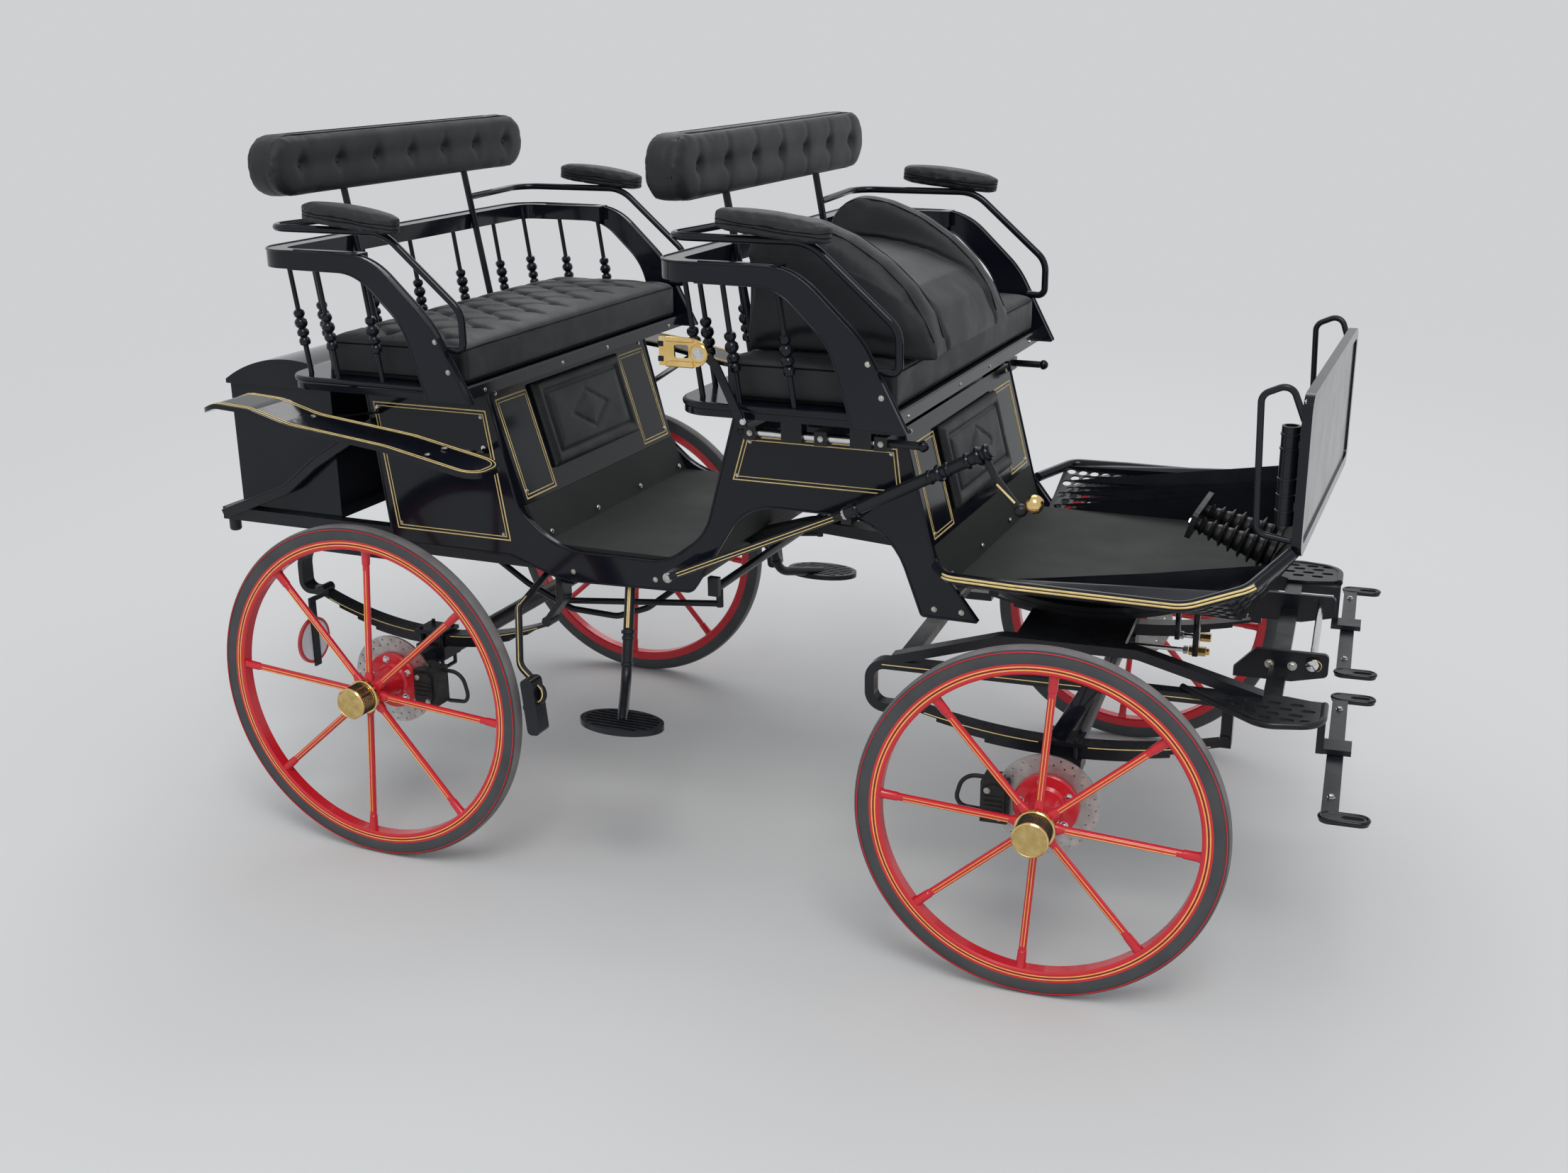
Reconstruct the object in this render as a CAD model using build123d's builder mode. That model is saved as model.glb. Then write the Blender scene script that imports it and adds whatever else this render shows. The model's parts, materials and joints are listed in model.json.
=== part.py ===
"""A four-wheeled, two-seat presentation carriage, in millimetres.

+X is forward, +Y is the left side, +Z is up. Every piece is drawn with x counted from the rear
axle and z from the ground, and is then moved back so that the origin lies on the ground under
the middle of the whole carriage. The fore-carriage, which steers, is drawn straight about its
own king pin and is then turned to the angle at which it stands.
"""

import os

from build123d import *

os.makedirs("parts", exist_ok=True)

# Stance
wheel_base = 1662
rear_track = 1424
front_track = 1480
fore_turn = 4.1
middle_x = 852.89
stance = Location((-middle_x, 0, 0))
fore_place = stance * Location((wheel_base, 0, 0), (0, 0, fore_turn))

# Wheels
rear_wheel_radius = 435
front_wheel_radius = 400
tyre_height = 35
tyre_width = 38
tyre_shoulder = 7
rim_depth = 24
rim_width = 34
spoke_count = 8
spoke_radius = 8.5
spoke_collar_radius = 11
spoke_collar_length = 30
spoke_lean = 4
hub_radius = 38
hub_outer = 26
hub_inner = 104
flange_radius = 72
flange_thickness = 12
disc_radius = 115
disc_bore = 45
disc_thickness = 5
cap_radius = 41
cap_length = 56
cap_edge = 4
axle_radius = 22
axle_gap = 0.08
axle_in_hub = 100

# Brake calipers
caliper_x = 110
caliper_size = (60, 62, 96)
caliper_gap = 5.5
caliper_arm = 12
hose_radius = 5

# Body sides, which carry the boxes and the wells
side_outer = 420
side_thickness = 18
side_inner = side_outer - side_thickness
wall = 16

# Seats, and how far ahead and above the rear one the front one stands
board_top = 1197
board_thickness = 32
board_front = 251
board_back = -272
board_half_width = 590
seat_step_x = 1081
seat_step_z = 18

# Seat gallery
blade_thickness = 22
rail_top = board_top + 308
rail_height = 42
rail_band = 50
rail_back = -312
rail_front = -5
rail_corner = 90
spindle_lean = 8.1

# Upholstery
cushion_height = 100
cushion_half_width = board_half_width - 30
cushion_back = -165
cushion_front = board_front - 1
cushion_corner = 22
pad_half_length = board_half_width - 15
pad_height = 160
pad_thickness = 86
pad_x = rail_back + 12
pad_z = rail_top + 189
arm_pad_length = 272
arm_pad_width = 76
arm_pad_thickness = 34

# Rods of the seats
rod_radius = 9
back_rod_y = 275
arm_rod_y = board_half_width - 5
arm_rod_z = rail_top + 51

# Wells and front platform
well_floor_top = 778
floor_thickness = 16
platform_top = 786
platform_rear = 1392
platform_front = 2040
platform_half_width = 345
rail_half_width = 560
rail_z = 858
rail_radius = 13
skirt_thickness = 5
dash_x = 2160
dash_bottom = 950
dash_top = 1292
dash_half_width = 450

# Turntable
ring_radius = 240
ring_width = 50
ring_thickness = 12
ring_gap = 1
upper_ring_top = 730
beam_height = platform_top - floor_thickness - upper_ring_top
king_pin_radius = 15
king_pin_gap = 0.08

# Under-gear
rear_spring_y = 410
front_spring_y = 430
spring_half_span = 350
leaf_count = 4
leaf_width = 45
leaf_thickness = 8
axle_pad = 12
clamp_half_length = 44
clamp_plate = 10
clamp_bolt_x = 30
clamp_bolt_radius = 5
clamp_gap = 1
hanger_thickness = 14

side_outline = [
    # x, z, corner radius: the rear box, the low doorway, the front box and the wheel arch
    (-105, 740, 0),
    (-158, 1165, 0),
    (200, 1165, 0),
    (280, 860, 90),
    (385, 768, 200),
    (690, 768, 150),
    (800, 850, 140),
    (882, 1150, 0),
    (1296, 1150, 0),
    (1374, 850, 60),
    (1478, 716, 0),
    (1345, 716, 10),
    (1262, 936, 170),
    (905, 936, 130),
    (760, 702, 30),
    (400, 690, 200),
    (250, 740, 60),
]


def outline(rows):
    """A closed outline in the current plane from rows of x, z and corner radius."""
    points = [(x, z) for x, z, radius in rows]
    return FilletPolyline(*points, radius=[radius for x, z, radius in rows], close=True)


def bent_rod(points, bend, radius):
    """A round rod along straight runs joined by bends."""
    with BuildPart() as rod:
        with BuildLine() as route:
            FilletPolyline(*points, radius=bend)
        with BuildSketch(Plane(origin=route.line @ 0, z_dir=route.line % 0)):
            Circle(radius)
        sweep()
    return rod.part


def bent_bar(points, bend, width, height):
    """A flat bar along a route in an upright plane, its width across the vehicle."""
    with BuildPart() as bar:
        with BuildLine() as route:
            FilletPolyline(*points, radius=bend)
        with BuildSketch(Plane(origin=route.line @ 0, x_dir=(0, 1, 0), z_dir=route.line % 0)):
            Rectangle(width, height)
        sweep()
    return bar.part


def straight_rod(start, end, radius):
    """A round rod from one point to another."""
    run = Vector(*end) - Vector(*start)
    with BuildPart() as rod:
        with BuildSketch(Plane(origin=start, z_dir=run)):
            Circle(radius)
        extrude(amount=run.length)
    return rod.part


def block(low, high):
    """A box between its lowest and highest corners."""
    size = [high[i] - low[i] for i in range(3)]
    with BuildPart() as solid:
        with Locations(tuple((low[i] + high[i]) / 2 for i in range(3))):
            Box(*size)
    return solid.part


def upright_plate(rows, low, high):
    """A plate of the given side outline, from one distance right of the centre line to another."""
    with BuildPart() as plate:
        with BuildSketch(Plane.XZ.offset(low)):
            with BuildLine():
                outline(rows)
            make_face()
        extrude(amount=high - low)
    return plate.part


# Body sides

with BuildPart() as side_panels:
    add(upright_plate(side_outline, side_inner, side_outer))
    mirror(about=Plane.XZ)

side_panels.part.label = "side_panels"
export_step(stance * side_panels.part, "parts/side_panels.step")


# Rear seat box: front and back walls between the sides, and its floor

rear_box_walls = [
    # x at the top, z of the top, x at the bottom, z of the bottom
    (200, 1165, 292, 870),
    (-148, 1165, -97, 756),
]
with BuildPart() as rear_seat_box:
    for x_top, z_top, x_low, z_low in rear_box_walls:
        rows = [(x_top - wall, z_top, 0), (x_top, z_top, 0), (x_low, z_low, 0), (x_low - wall, z_low, 0)]
        add(upright_plate(rows, -side_inner, side_inner))
    add(block((-97 - wall, -side_inner, 740), (256, side_inner, 756)))

rear_seat_box.part.label = "rear_seat_box"
export_step(stance * rear_seat_box.part, "parts/rear_seat_box.step")


# Front seat box: two leaning walls and a floor over the wheel arch

front_box_boards = [
    # the four corners of each board as x, z
    ((1296 - wall, 1150), (1296, 1150), (1366, 880), (1366 - wall, 880)),
    ((882, 1150), (882 + wall, 1150), (806 + wall, 870), (806, 870)),
    ((846, 952), (846, 968), (1342, 968), (1342, 952)),
]
with BuildPart() as front_seat_box:
    for corners in front_box_boards:
        add(upright_plate([(x, z, 0) for x, z in corners], -side_inner, side_inner))

front_seat_box.part.label = "front_seat_box"
export_step(stance * front_seat_box.part, "parts/front_seat_box.step")


# Foot well between the boxes, with the board that rises to the front box

foot_well_outline = [
    # x, z, corner radius
    (256, 740, 0),
    (272, 740, 0),
    (272, well_floor_top - floor_thickness, 0),
    (778, well_floor_top - floor_thickness, 0),
    (822, 870, 0),
    (806, 870, 0),
    (762, well_floor_top, 0),
    (256, well_floor_top, 0),
]
with BuildPart() as foot_well:
    add(upright_plate(foot_well_outline, -side_inner, side_inner))

foot_well.part.label = "foot_well"
export_step(stance * foot_well.part, "parts/foot_well.step")


# Kick-boards below the two seat boxes

kick_thickness = 12
kick_board_table = [
    # x and z of the lower edge, x and z of the upper edge
    (340, well_floor_top, 295, 869),
    (1400, platform_top, 1368, 879),
]
with BuildPart() as kick_boards:
    for x_low, z_low, x_top, z_top in kick_board_table:
        rows = [(x_low, z_low, 0), (x_top, z_top, 0), (x_top - kick_thickness, z_top, 0),
                (x_low - kick_thickness, z_low, 0)]
        add(upright_plate(rows, -side_inner, side_inner))

kick_boards.part.label = "kick_boards"
export_step(stance * kick_boards.part, "parts/kick_boards.step")


# Boot behind the rear seat, with an arched lid hinged at its front edge

boot_front = -282
boot_rear = -606
boot_floor = 776
boot_top = 1118
boot_half_width = 400
boot_wall = 12
lid_gap = 1
lid_lip = 8
lid_arch = [
    # x, z along the top of the lid from the rear to the front
    (boot_rear - lid_lip, 1130),
    (-400, 1194),
    (boot_front, 1172),
]

with BuildPart() as boot:
    add(block((boot_rear, -boot_half_width, boot_floor), (boot_front, boot_half_width, boot_top)))
    offset(amount=-boot_wall, openings=boot.faces().sort_by(Axis.Z)[-1])

boot.part.label = "boot"
export_step(stance * boot.part, "parts/boot.step")


def lid_section(inset):
    """The side outline of the lid, or of the hollow under it when it is drawn inset."""
    low = boot_top + lid_gap
    rear = boot_rear - lid_lip + inset
    front = boot_front - inset
    points = [(rear, 1130 - inset), (-400, 1194 - inset), (front, 1172 - inset)]
    Line((front, low), (rear, low))
    Line((rear, low), points[0])
    ThreePointArc(*points)
    Line(points[2], (front, low))


with BuildPart() as boot_lid:
    with BuildSketch(Plane.XZ.offset(-boot_half_width - lid_lip)):
        with BuildLine():
            lid_section(0)
        make_face()
    extrude(amount=2 * (boot_half_width + lid_lip))
    with BuildSketch(Plane.XZ.offset(-boot_half_width + lid_lip)):
        with BuildLine():
            lid_section(boot_wall - 2)
        make_face()
    extrude(amount=2 * (boot_half_width - lid_lip), mode=Mode.SUBTRACT)

boot_lid.part.label = "boot_lid"
export_step(stance * boot_lid.part, "parts/boot_lid.step")


# Turntable: the upper ring with the king pin

with BuildPart() as upper_ring:
    with BuildSketch(Plane.XY.offset(upper_ring_top - ring_thickness)):
        with Locations((wheel_base, 0)):
            Circle(ring_radius + ring_width / 2)
            Circle(ring_radius - ring_width / 2, mode=Mode.SUBTRACT)
            Rectangle(60, 2 * ring_radius)
    extrude(amount=ring_thickness)
    with BuildSketch(Plane.XY.offset(upper_ring_top - ring_thickness)):
        with Locations((wheel_base, 0)):
            Circle(king_pin_radius)
    extrude(amount=-ring_thickness)


# Body frame: bottom rails, cross members, boot stays, the beams over the turntable and its ring

frame_low = 706
frame_high = 740
boot_rail_low = 742
boot_rail_high = boot_floor
beam_y = 190
frame_blocks = [
    # lowest corner, highest corner of the pieces on the right side, which are mirrored
    ((-664, -side_outer, boot_rail_low), (-105, -386, boot_rail_high)),
    ((-105, -side_inner, frame_low), (750, -368, frame_high)),
    ((-139, -side_inner, frame_low), (-105, -386, boot_rail_low)),
    ((380, -side_inner, 676), (420, -370, frame_low)),
    ((1300, -beam_y - 20, upper_ring_top), (platform_front, -beam_y + 20, upper_ring_top + beam_height)),
    ((1350, -side_inner, upper_ring_top), (1390, -beam_y - 20, upper_ring_top + beam_height)),
]
cross_blocks = [
    # low x, high x, half width, low z, high z of the pieces across the carriage
    (-664, -640, 386, boot_rail_low, boot_rail_high),
    (-139, -105, 386, frame_low, frame_high),
    (60, 100, 368, frame_low, frame_high),
    (700, 740, 368, frame_low, frame_high),
    (1350, 1390, beam_y - 20, upper_ring_top, upper_ring_top + beam_height),
    (wheel_base - 20, wheel_base + 20, beam_y - 20, upper_ring_top, upper_ring_top + beam_height),
    (1960, 2000, beam_y - 20, upper_ring_top, upper_ring_top + beam_height),
]
boot_stay_route = [(-648, -429, 760), (-560, -429, 796), (-430, -429, 850), (-330, -429, 930),
                   (-132, -429, 1052)]
perch_route = [(720, 0, 722), (910, 0, 780), (1370, 0, 750)]
truss_route = [(80, -300, 712), (222, -300, 623), (349, -300, 570), (483, -300, 566), (572, -300, 600),
               (718, -300, 712)]
truss_radius = 8
with BuildPart() as body_frame:
    for low, high in frame_blocks:
        add(block(low, high))
    add(bent_bar(boot_stay_route, [80, 80, 80], 18, 26))
    add(bent_rod(truss_route, [60, 60, 60, 60], truss_radius))
    mirror(about=Plane.XZ)
    for x_low, x_high, half_width, z_low, z_high in cross_blocks:
        add(block((x_low, -half_width, z_low), (x_high, half_width, z_high)))
    add(bent_bar(perch_route, [200], 60, 30))
    add(upper_ring.part)
    add(rear_seat_box.part, mode=Mode.SUBTRACT)
    add(side_panels.part, mode=Mode.SUBTRACT)

body_frame.part.label = "body_frame"
export_step(stance * body_frame.part, "parts/body_frame.step")


# Rubber buffers under the rear corners

with BuildPart() as rear_buffers:
    with BuildSketch(Plane.XY.offset(boot_rail_low)):
        with Locations((-640, -404)):
            Circle(16)
    extrude(amount=-34)
    fillet(rear_buffers.faces().sort_by(Axis.Z)[0].edges(), 8)
    mirror(about=Plane.XZ)

rear_buffers.part.label = "rear_buffers"
export_step(stance * rear_buffers.part, "parts/rear_buffers.step")


# Front platform: floor and rising toe board, edge rails, flared skirts

toe_rise = (dash_bottom - platform_top) / (dash_x - platform_front)
platform_outline = [
    # x, z, corner radius
    (platform_rear, platform_top, 0),
    (platform_front, platform_top, 0),
    (dash_x - 8, dash_bottom - 8, 0),
    (dash_x + 2, dash_bottom - 14, 0),
    (platform_front + 8, platform_top - floor_thickness, 0),
    (platform_rear, platform_top - floor_thickness, 0),
]
with BuildPart() as platform_floor:
    add(upright_plate(platform_outline, -platform_half_width, platform_half_width))

platform_floor.part.label = "platform_floor"
export_step(stance * platform_floor.part, "parts/platform_floor.step")

rail_route = [
    # x, y, z
    (1384, -430, 842),
    (1450, -rail_half_width + 10, rail_z),
    (1600, -rail_half_width, rail_z),
    (1960, -rail_half_width, rail_z),
    (2080, -rail_half_width + 30, 900),
    (dash_x - 8, -dash_half_width + 4, dash_bottom + 12),
]
with BuildPart() as edge_rails:
    with BuildLine() as rail_line:
        FilletPolyline(*rail_route, radius=[40, 60, 120, 60])
    with BuildSketch(Plane(origin=rail_line.line @ 0, z_dir=rail_line.line % 0)):
        Circle(rail_radius)
    sweep()
    mirror(about=Plane.XZ)
    add(side_panels.part, mode=Mode.SUBTRACT)

edge_rails.part.label = "edge_rails"
export_step(stance * edge_rails.part, "parts/edge_rails.step")

skirt_stations = [0.06, 0.13, 0.2, 0.4, 0.62, 0.7, 0.78, 0.86, 0.93, 0.985]
with BuildPart() as side_skirts:
    for share in skirt_stations:
        at = rail_line.line @ share
        low = platform_top - floor_thickness + max(0, at.X - platform_front) * toe_rise
        with BuildSketch(Plane.YZ.offset(at.X)):
            with BuildLine():
                Polyline((-platform_half_width, low), (-platform_half_width, low + skirt_thickness),
                         (at.Y, at.Z + skirt_thickness / 2), (at.Y, at.Z - skirt_thickness / 2), close=True)
            make_face()
    loft(ruled=True)
    for solid in (edge_rails, side_panels, kick_boards, platform_floor):
        add(solid.part, mode=Mode.SUBTRACT)
    mirror(about=Plane.XZ)

side_skirts.part.label = "side_skirts"
export_step(stance * side_skirts.part, "parts/side_skirts.step")


# Dashboard with a raised rim, grab loops and whip socket

dash_middle = (0, (dash_bottom + dash_top) / 2)
dash_height = dash_top - dash_bottom
dash_rim = 25
with BuildPart() as dashboard:
    with BuildSketch(Plane.YZ.offset(dash_x - 6)):
        with Locations(dash_middle):
            RectangleRounded(2 * dash_half_width, dash_height, 40)
    extrude(amount=12)
    with BuildSketch(Plane.YZ.offset(dash_x - 10)):
        with Locations(dash_middle):
            RectangleRounded(2 * dash_half_width, dash_height, 40)
            RectangleRounded(2 * (dash_half_width - dash_rim), dash_height - 2 * dash_rim, 20,
                             mode=Mode.SUBTRACT)
    extrude(amount=20)
    add(platform_floor.part, mode=Mode.SUBTRACT)
    add(edge_rails.part, mode=Mode.SUBTRACT)

dashboard.part.label = "dashboard"
export_step(stance * dashboard.part, "parts/dashboard.step")

loop_route = [(dash_x - 6, -437, 1240), (2126, -452, 1316), (2068, -452, 1290), (2078, -452, 1000),
              (dash_x - 6, -437, 985)]
with BuildPart() as grab_loops:
    add(bent_rod(loop_route, [24, 24, 24], 7))
    mirror(about=Plane.XZ)
    add(dashboard.part, mode=Mode.SUBTRACT)

grab_loops.part.label = "grab_loops"
export_step(stance * grab_loops.part, "parts/grab_loops.step")

whip_x = 2126
whip_y = -402
whip_bottom = 1010
whip_length = 210
whip_bore = 14
whip_wall = 5
with BuildPart() as whip_socket:
    with BuildSketch(Plane.XY.offset(whip_bottom)):
        with Locations((whip_x, whip_y)):
            Circle(whip_bore + whip_wall)
    extrude(amount=whip_length)
    for z in (1040, 1170):
        add(block((whip_x, whip_y - 8, z), (dash_x - 6, whip_y + 8, z + 20)))
    with BuildSketch(Plane.XY.offset(whip_bottom + whip_wall)):
        with Locations((whip_x, whip_y)):
            Circle(whip_bore)
    extrude(amount=whip_length - whip_wall, mode=Mode.SUBTRACT)
    add(dashboard.part, mode=Mode.SUBTRACT)

whip_socket.part.label = "whip_socket"
export_step(stance * whip_socket.part, "parts/whip_socket.step")


# Brake pedals: one plate on two rubber bellows that reach the toe board

bellows_table = [
    # y of the bellows
    -20,
    -140,
]
bellows_start = Vector(1906, 0, 918)
bellows_end = Vector(2086, 0, 862)
bellows_folds = 6
bellows_small = 22
bellows_large = 44
bellows_groove = 8
with BuildPart() as brake_pedals:
    run = bellows_end - bellows_start
    fold = run.length / bellows_folds
    for y in bellows_table:
        with BuildSketch(Plane(origin=bellows_start + Vector(0, y, 0), x_dir=(0, 1, 0),
                               z_dir=Vector(0, 1, 0).cross(run))):
            with BuildLine():
                points = [(0, 0)]
                for i in range(bellows_folds):
                    tip = bellows_small + (bellows_large - bellows_small) * (i + 1) / bellows_folds
                    points += [(tip - bellows_groove, i * fold), (tip, (i + 0.5) * fold)]
                points += [(bellows_large - bellows_groove, run.length), (0, run.length)]
                Polyline(*points, close=True)
            make_face()
        revolve(axis=Axis(bellows_start + Vector(0, y, 0), run))
    with BuildSketch(Plane(origin=bellows_start, x_dir=(0, 1, 0), z_dir=run)):
        with Locations((-80, 4)):
            RectangleRounded(210, 62, 8)
    extrude(amount=-12)
    add(platform_floor.part, mode=Mode.SUBTRACT)

brake_pedals.part.label = "brake_pedals"
export_step(stance * brake_pedals.part, "parts/brake_pedals.step")


# Seats

spindle_places = [
    # x and distance off the centre line at the foot
    (18, board_half_width - 14),
    (-112, board_half_width - 14),
    (-218, board_half_width - 45),
    (-246, 420),
    (-246, 210),
]
spindle_profile = [
    # height above the board, radius
    (-4, 6.5), (70, 6.5), (76, 11), (84, 11), (90, 7), (97, 12), (105, 12), (112, 7),
    (120, 13), (130, 13), (138, 7), (146, 11), (153, 11), (160, 6), (300, 6),
]
blade_outline = [
    # x, z, corner radius: level at the back, then swept down to the front corner of the board
    (-200, rail_top, 0),
    (30, rail_top - 2, 170),
    (185, 1355, 260),
    (286, board_top - board_thickness, 0),
    (168, board_top - board_thickness, 0),
    (112, 1345, 170),
    (-10, rail_top - rail_height - 2, 130),
    (-200, rail_top - rail_height, 0),
]


def seat_board(dx, dz):
    """The moulded seat board with rounded rear corners."""
    with BuildPart() as board:
        with BuildSketch(Plane.XY.offset(board_top - board_thickness + dz)):
            with BuildLine():
                outline([
                    (board_front + dx, -board_half_width, 0),
                    (board_front + dx, board_half_width, 0),
                    (board_back + dx, board_half_width, 80),
                    (board_back + dx, -board_half_width, 80),
                ])
            make_face()
        extrude(amount=board_thickness)
        chamfer(board.faces().sort_by(Axis.Z)[-1].edges(), 4)
    return board.part


def rail_loop(dx, inset, corner):
    """The outline of the gallery rail seen from above, drawn inset for its inner edge."""
    outer = board_half_width + blade_thickness - inset
    return outline([
        (rail_front + dx, -outer, 0),
        (rail_front + dx, outer, 0),
        (rail_back + inset + dx, outer, corner),
        (rail_back + inset + dx, -outer, corner),
    ])


def seat_gallery(dx, dz, board):
    """The bent rail on its turned spindles, with the two side blades."""
    with BuildPart() as spindle:
        with BuildSketch(Plane.XZ):
            with BuildLine():
                Polyline((0, spindle_profile[0][0]), *[(r, h) for h, r in spindle_profile],
                         (0, spindle_profile[-1][0]), close=True)
            make_face()
        revolve(axis=Axis.Z)
    with BuildPart() as gallery:
        with Locations([Location((x + dx, -y, board_top + dz), (0, -spindle_lean, 0))
                        for x, y in spindle_places]):
            add(spindle.part)
        with BuildSketch(Plane.XZ.offset(board_half_width)):
            with BuildLine():
                outline([(x + dx, z + dz, radius) for x, z, radius in blade_outline])
            make_face()
        extrude(amount=blade_thickness)
        mirror(about=Plane.XZ)
        with Locations(Location((-246 + dx, 0, board_top + dz), (0, -spindle_lean, 0))):
            add(spindle.part)
        with BuildSketch(Plane.XY.offset(rail_top - rail_height + dz)):
            with BuildLine():
                rail_loop(dx, 0, rail_corner)
            make_face()
            with BuildLine():
                rail_loop(dx, rail_band, rail_corner - rail_band)
            make_face(mode=Mode.SUBTRACT)
        extrude(amount=rail_height)
        add(board, mode=Mode.SUBTRACT)
    return gallery.part


def seat_rod_set(dx, dz, gallery, board):
    """Two leaning back rods and the two arm rods that run from them to the blades."""
    arm_route = [
        (-262 + dx, -back_rod_y, arm_rod_z - 4 + dz),
        (-285 + dx, -arm_rod_y, arm_rod_z + dz),
        (60 + dx, -arm_rod_y, arm_rod_z + dz),
        (262 + dx, -arm_rod_y, 1380 + dz),
        (262 + dx, -arm_rod_y, 1288 + dz),
        (214 + dx, -arm_rod_y, 1290 + dz),
    ]
    with BuildPart() as rods:
        add(straight_rod((-198 + dx, -back_rod_y, board_top - 6 + dz),
                         (-284 + dx, -back_rod_y, 1660 + dz), rod_radius))
        add(bent_rod(arm_route, [60, 110, 60, 18], rod_radius))
        mirror(about=Plane.XZ)
        add(gallery, mode=Mode.SUBTRACT)
        add(board, mode=Mode.SUBTRACT)
    return rods.part


def arm_pad_pair(dx, dz):
    """Two stadium pads on the arm rods."""
    with BuildPart() as pads:
        with BuildSketch(Plane.XY.offset(arm_rod_z + rod_radius + dz)):
            with Locations((-16 + dx, -arm_rod_y - 18)):
                SlotOverall(arm_pad_length, arm_pad_width)
        extrude(amount=arm_pad_thickness)
        mirror(about=Plane.XZ)
    return pads.part


def back_pad(dx, dz, rods):
    """The long stadium back pad."""
    with BuildPart() as pad:
        with BuildSketch(Plane.YZ.offset(pad_x - pad_thickness / 2 + dx)):
            with Locations((0, pad_z + dz)):
                SlotOverall(2 * pad_half_length, pad_height)
        extrude(amount=pad_thickness)
        add(rods, mode=Mode.SUBTRACT)
    return pad.part


def seat_cushion(dx, dz):
    """The boxed base cushion."""
    low = board_top + dz
    with BuildPart() as cushion:
        add(block((cushion_back + dx, -cushion_half_width, low),
                  (cushion_front + dx, cushion_half_width, low + cushion_height)))
        fillet(cushion.edges().filter_by(Axis.Z), cushion_corner)
    return cushion.part


seats = [
    # how far ahead of the rear seat, how far above it
    (0, 0),
    (seat_step_x, seat_step_z),
]
with BuildPart() as seat_boards:
    for dx, dz in seats:
        add(seat_board(dx, dz))

seat_boards.part.label = "seat_boards"
export_step(stance * seat_boards.part, "parts/seat_boards.step")

with BuildPart() as seat_galleries:
    for dx, dz in seats:
        add(seat_gallery(dx, dz, seat_boards.part))

seat_galleries.part.label = "seat_galleries"
export_step(stance * seat_galleries.part, "parts/seat_galleries.step")

with BuildPart() as seat_rods:
    for dx, dz in seats:
        add(seat_rod_set(dx, dz, seat_galleries.part, seat_boards.part))

seat_rods.part.label = "seat_rods"
export_step(stance * seat_rods.part, "parts/seat_rods.step")

with BuildPart() as arm_pads:
    for dx, dz in seats:
        add(arm_pad_pair(dx, dz))

arm_pads.part.label = "arm_pads"
export_step(stance * arm_pads.part, "parts/arm_pads.step")

with BuildPart() as back_pads:
    for dx, dz in seats:
        add(back_pad(dx, dz, seat_rods.part))

back_pads.part.label = "back_pads"
export_step(stance * back_pads.part, "parts/back_pads.step")

with BuildPart() as seat_cushions:
    for dx, dz in seats:
        add(seat_cushion(dx, dz))

seat_cushions.part.label = "seat_cushions"
export_step(stance * seat_cushions.part, "parts/seat_cushions.step")

# Driver's wedge on the right half of the front cushion, with a crescent bolster at each side

driver_base = board_top + seat_step_z + cushion_height
driver_right = 75 - cushion_half_width
driver_left = 80
bolster_width = 95
driver_seat_outline = [
    # x, height above the cushion, corner radius
    (940, 0, 0), (940, 188, 20), (1060, 203, 150), (1240, 165, 200), (1380, 60, 60), (1398, 0, 0),
]
bolster_outline = [
    # x, height above the cushion, corner radius
    (940, 0, 0), (940, 262, 60), (1040, 306, 90), (1190, 262, 250), (1330, 145, 150), (1392, 50, 40),
    (1398, 0, 0),
]
driver_slabs = [
    # side outline, distances off the centre line from right to left
    (driver_seat_outline, driver_right, driver_left),
    (bolster_outline, driver_right, driver_right + bolster_width),
    (bolster_outline, driver_left - bolster_width, driver_left),
]
with BuildPart() as driver_cushion:
    for rows, right, left in driver_slabs:
        with Locations((0, 0, driver_base)):
            add(upright_plate(rows, -left, -right))

driver_cushion.part.label = "driver_cushion"
export_step(stance * driver_cushion.part, "parts/driver_cushion.step")


# Slides under the front seat: rods, their brackets on the sides and the shoes under the board

slide_y = 500
slide_z = 1134
slide_radius = 9
slide_bracket_x = (948, 1120, 1262)
slide_shoe_x = (1040, 1205)
board_underside = board_top - board_thickness + seat_step_z
with BuildPart() as seat_slides:
    add(straight_rod((940, -slide_y, slide_z), (1368, -slide_y, slide_z), slide_radius))
    for x in slide_bracket_x:
        add(block((x, -slide_y - 16, slide_z - 16), (x + 30, -side_outer, slide_z + 16)))
    for x in slide_shoe_x:
        add(block((x, -slide_y - 16, slide_z - 14), (x + 50, -slide_y + 16, board_underside)))
    mirror(about=Plane.XZ)

seat_slides.part.label = "seat_slides"
export_step(stance * seat_slides.part, "parts/seat_slides.step")


# Padded panels on the fronts of the boxes

panel_half_width = 235
panel_thickness = 20
panel_table = [
    # x and z at the top, x and z at the bottom
    (205.7, 1146.4, 275.5, 915.2),
    (1303.8, 1119.7, 1358, 911),
]
with BuildPart() as padded_panels:
    for x_top, z_top, x_low, z_low in panel_table:
        rows = [(x_top, z_top, 0), (x_low, z_low, 0), (x_low + panel_thickness, z_low + 6, 0),
                (x_top + panel_thickness, z_top + 6, 0)]
        add(upright_plate(rows, -panel_half_width, panel_half_width))
    add(rear_seat_box.part, mode=Mode.SUBTRACT)
    add(front_seat_box.part, mode=Mode.SUBTRACT)

padded_panels.part.label = "padded_panels"
export_step(stance * padded_panels.part, "parts/padded_panels.step")


# Wings over the rear wheels and their stays

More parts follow.
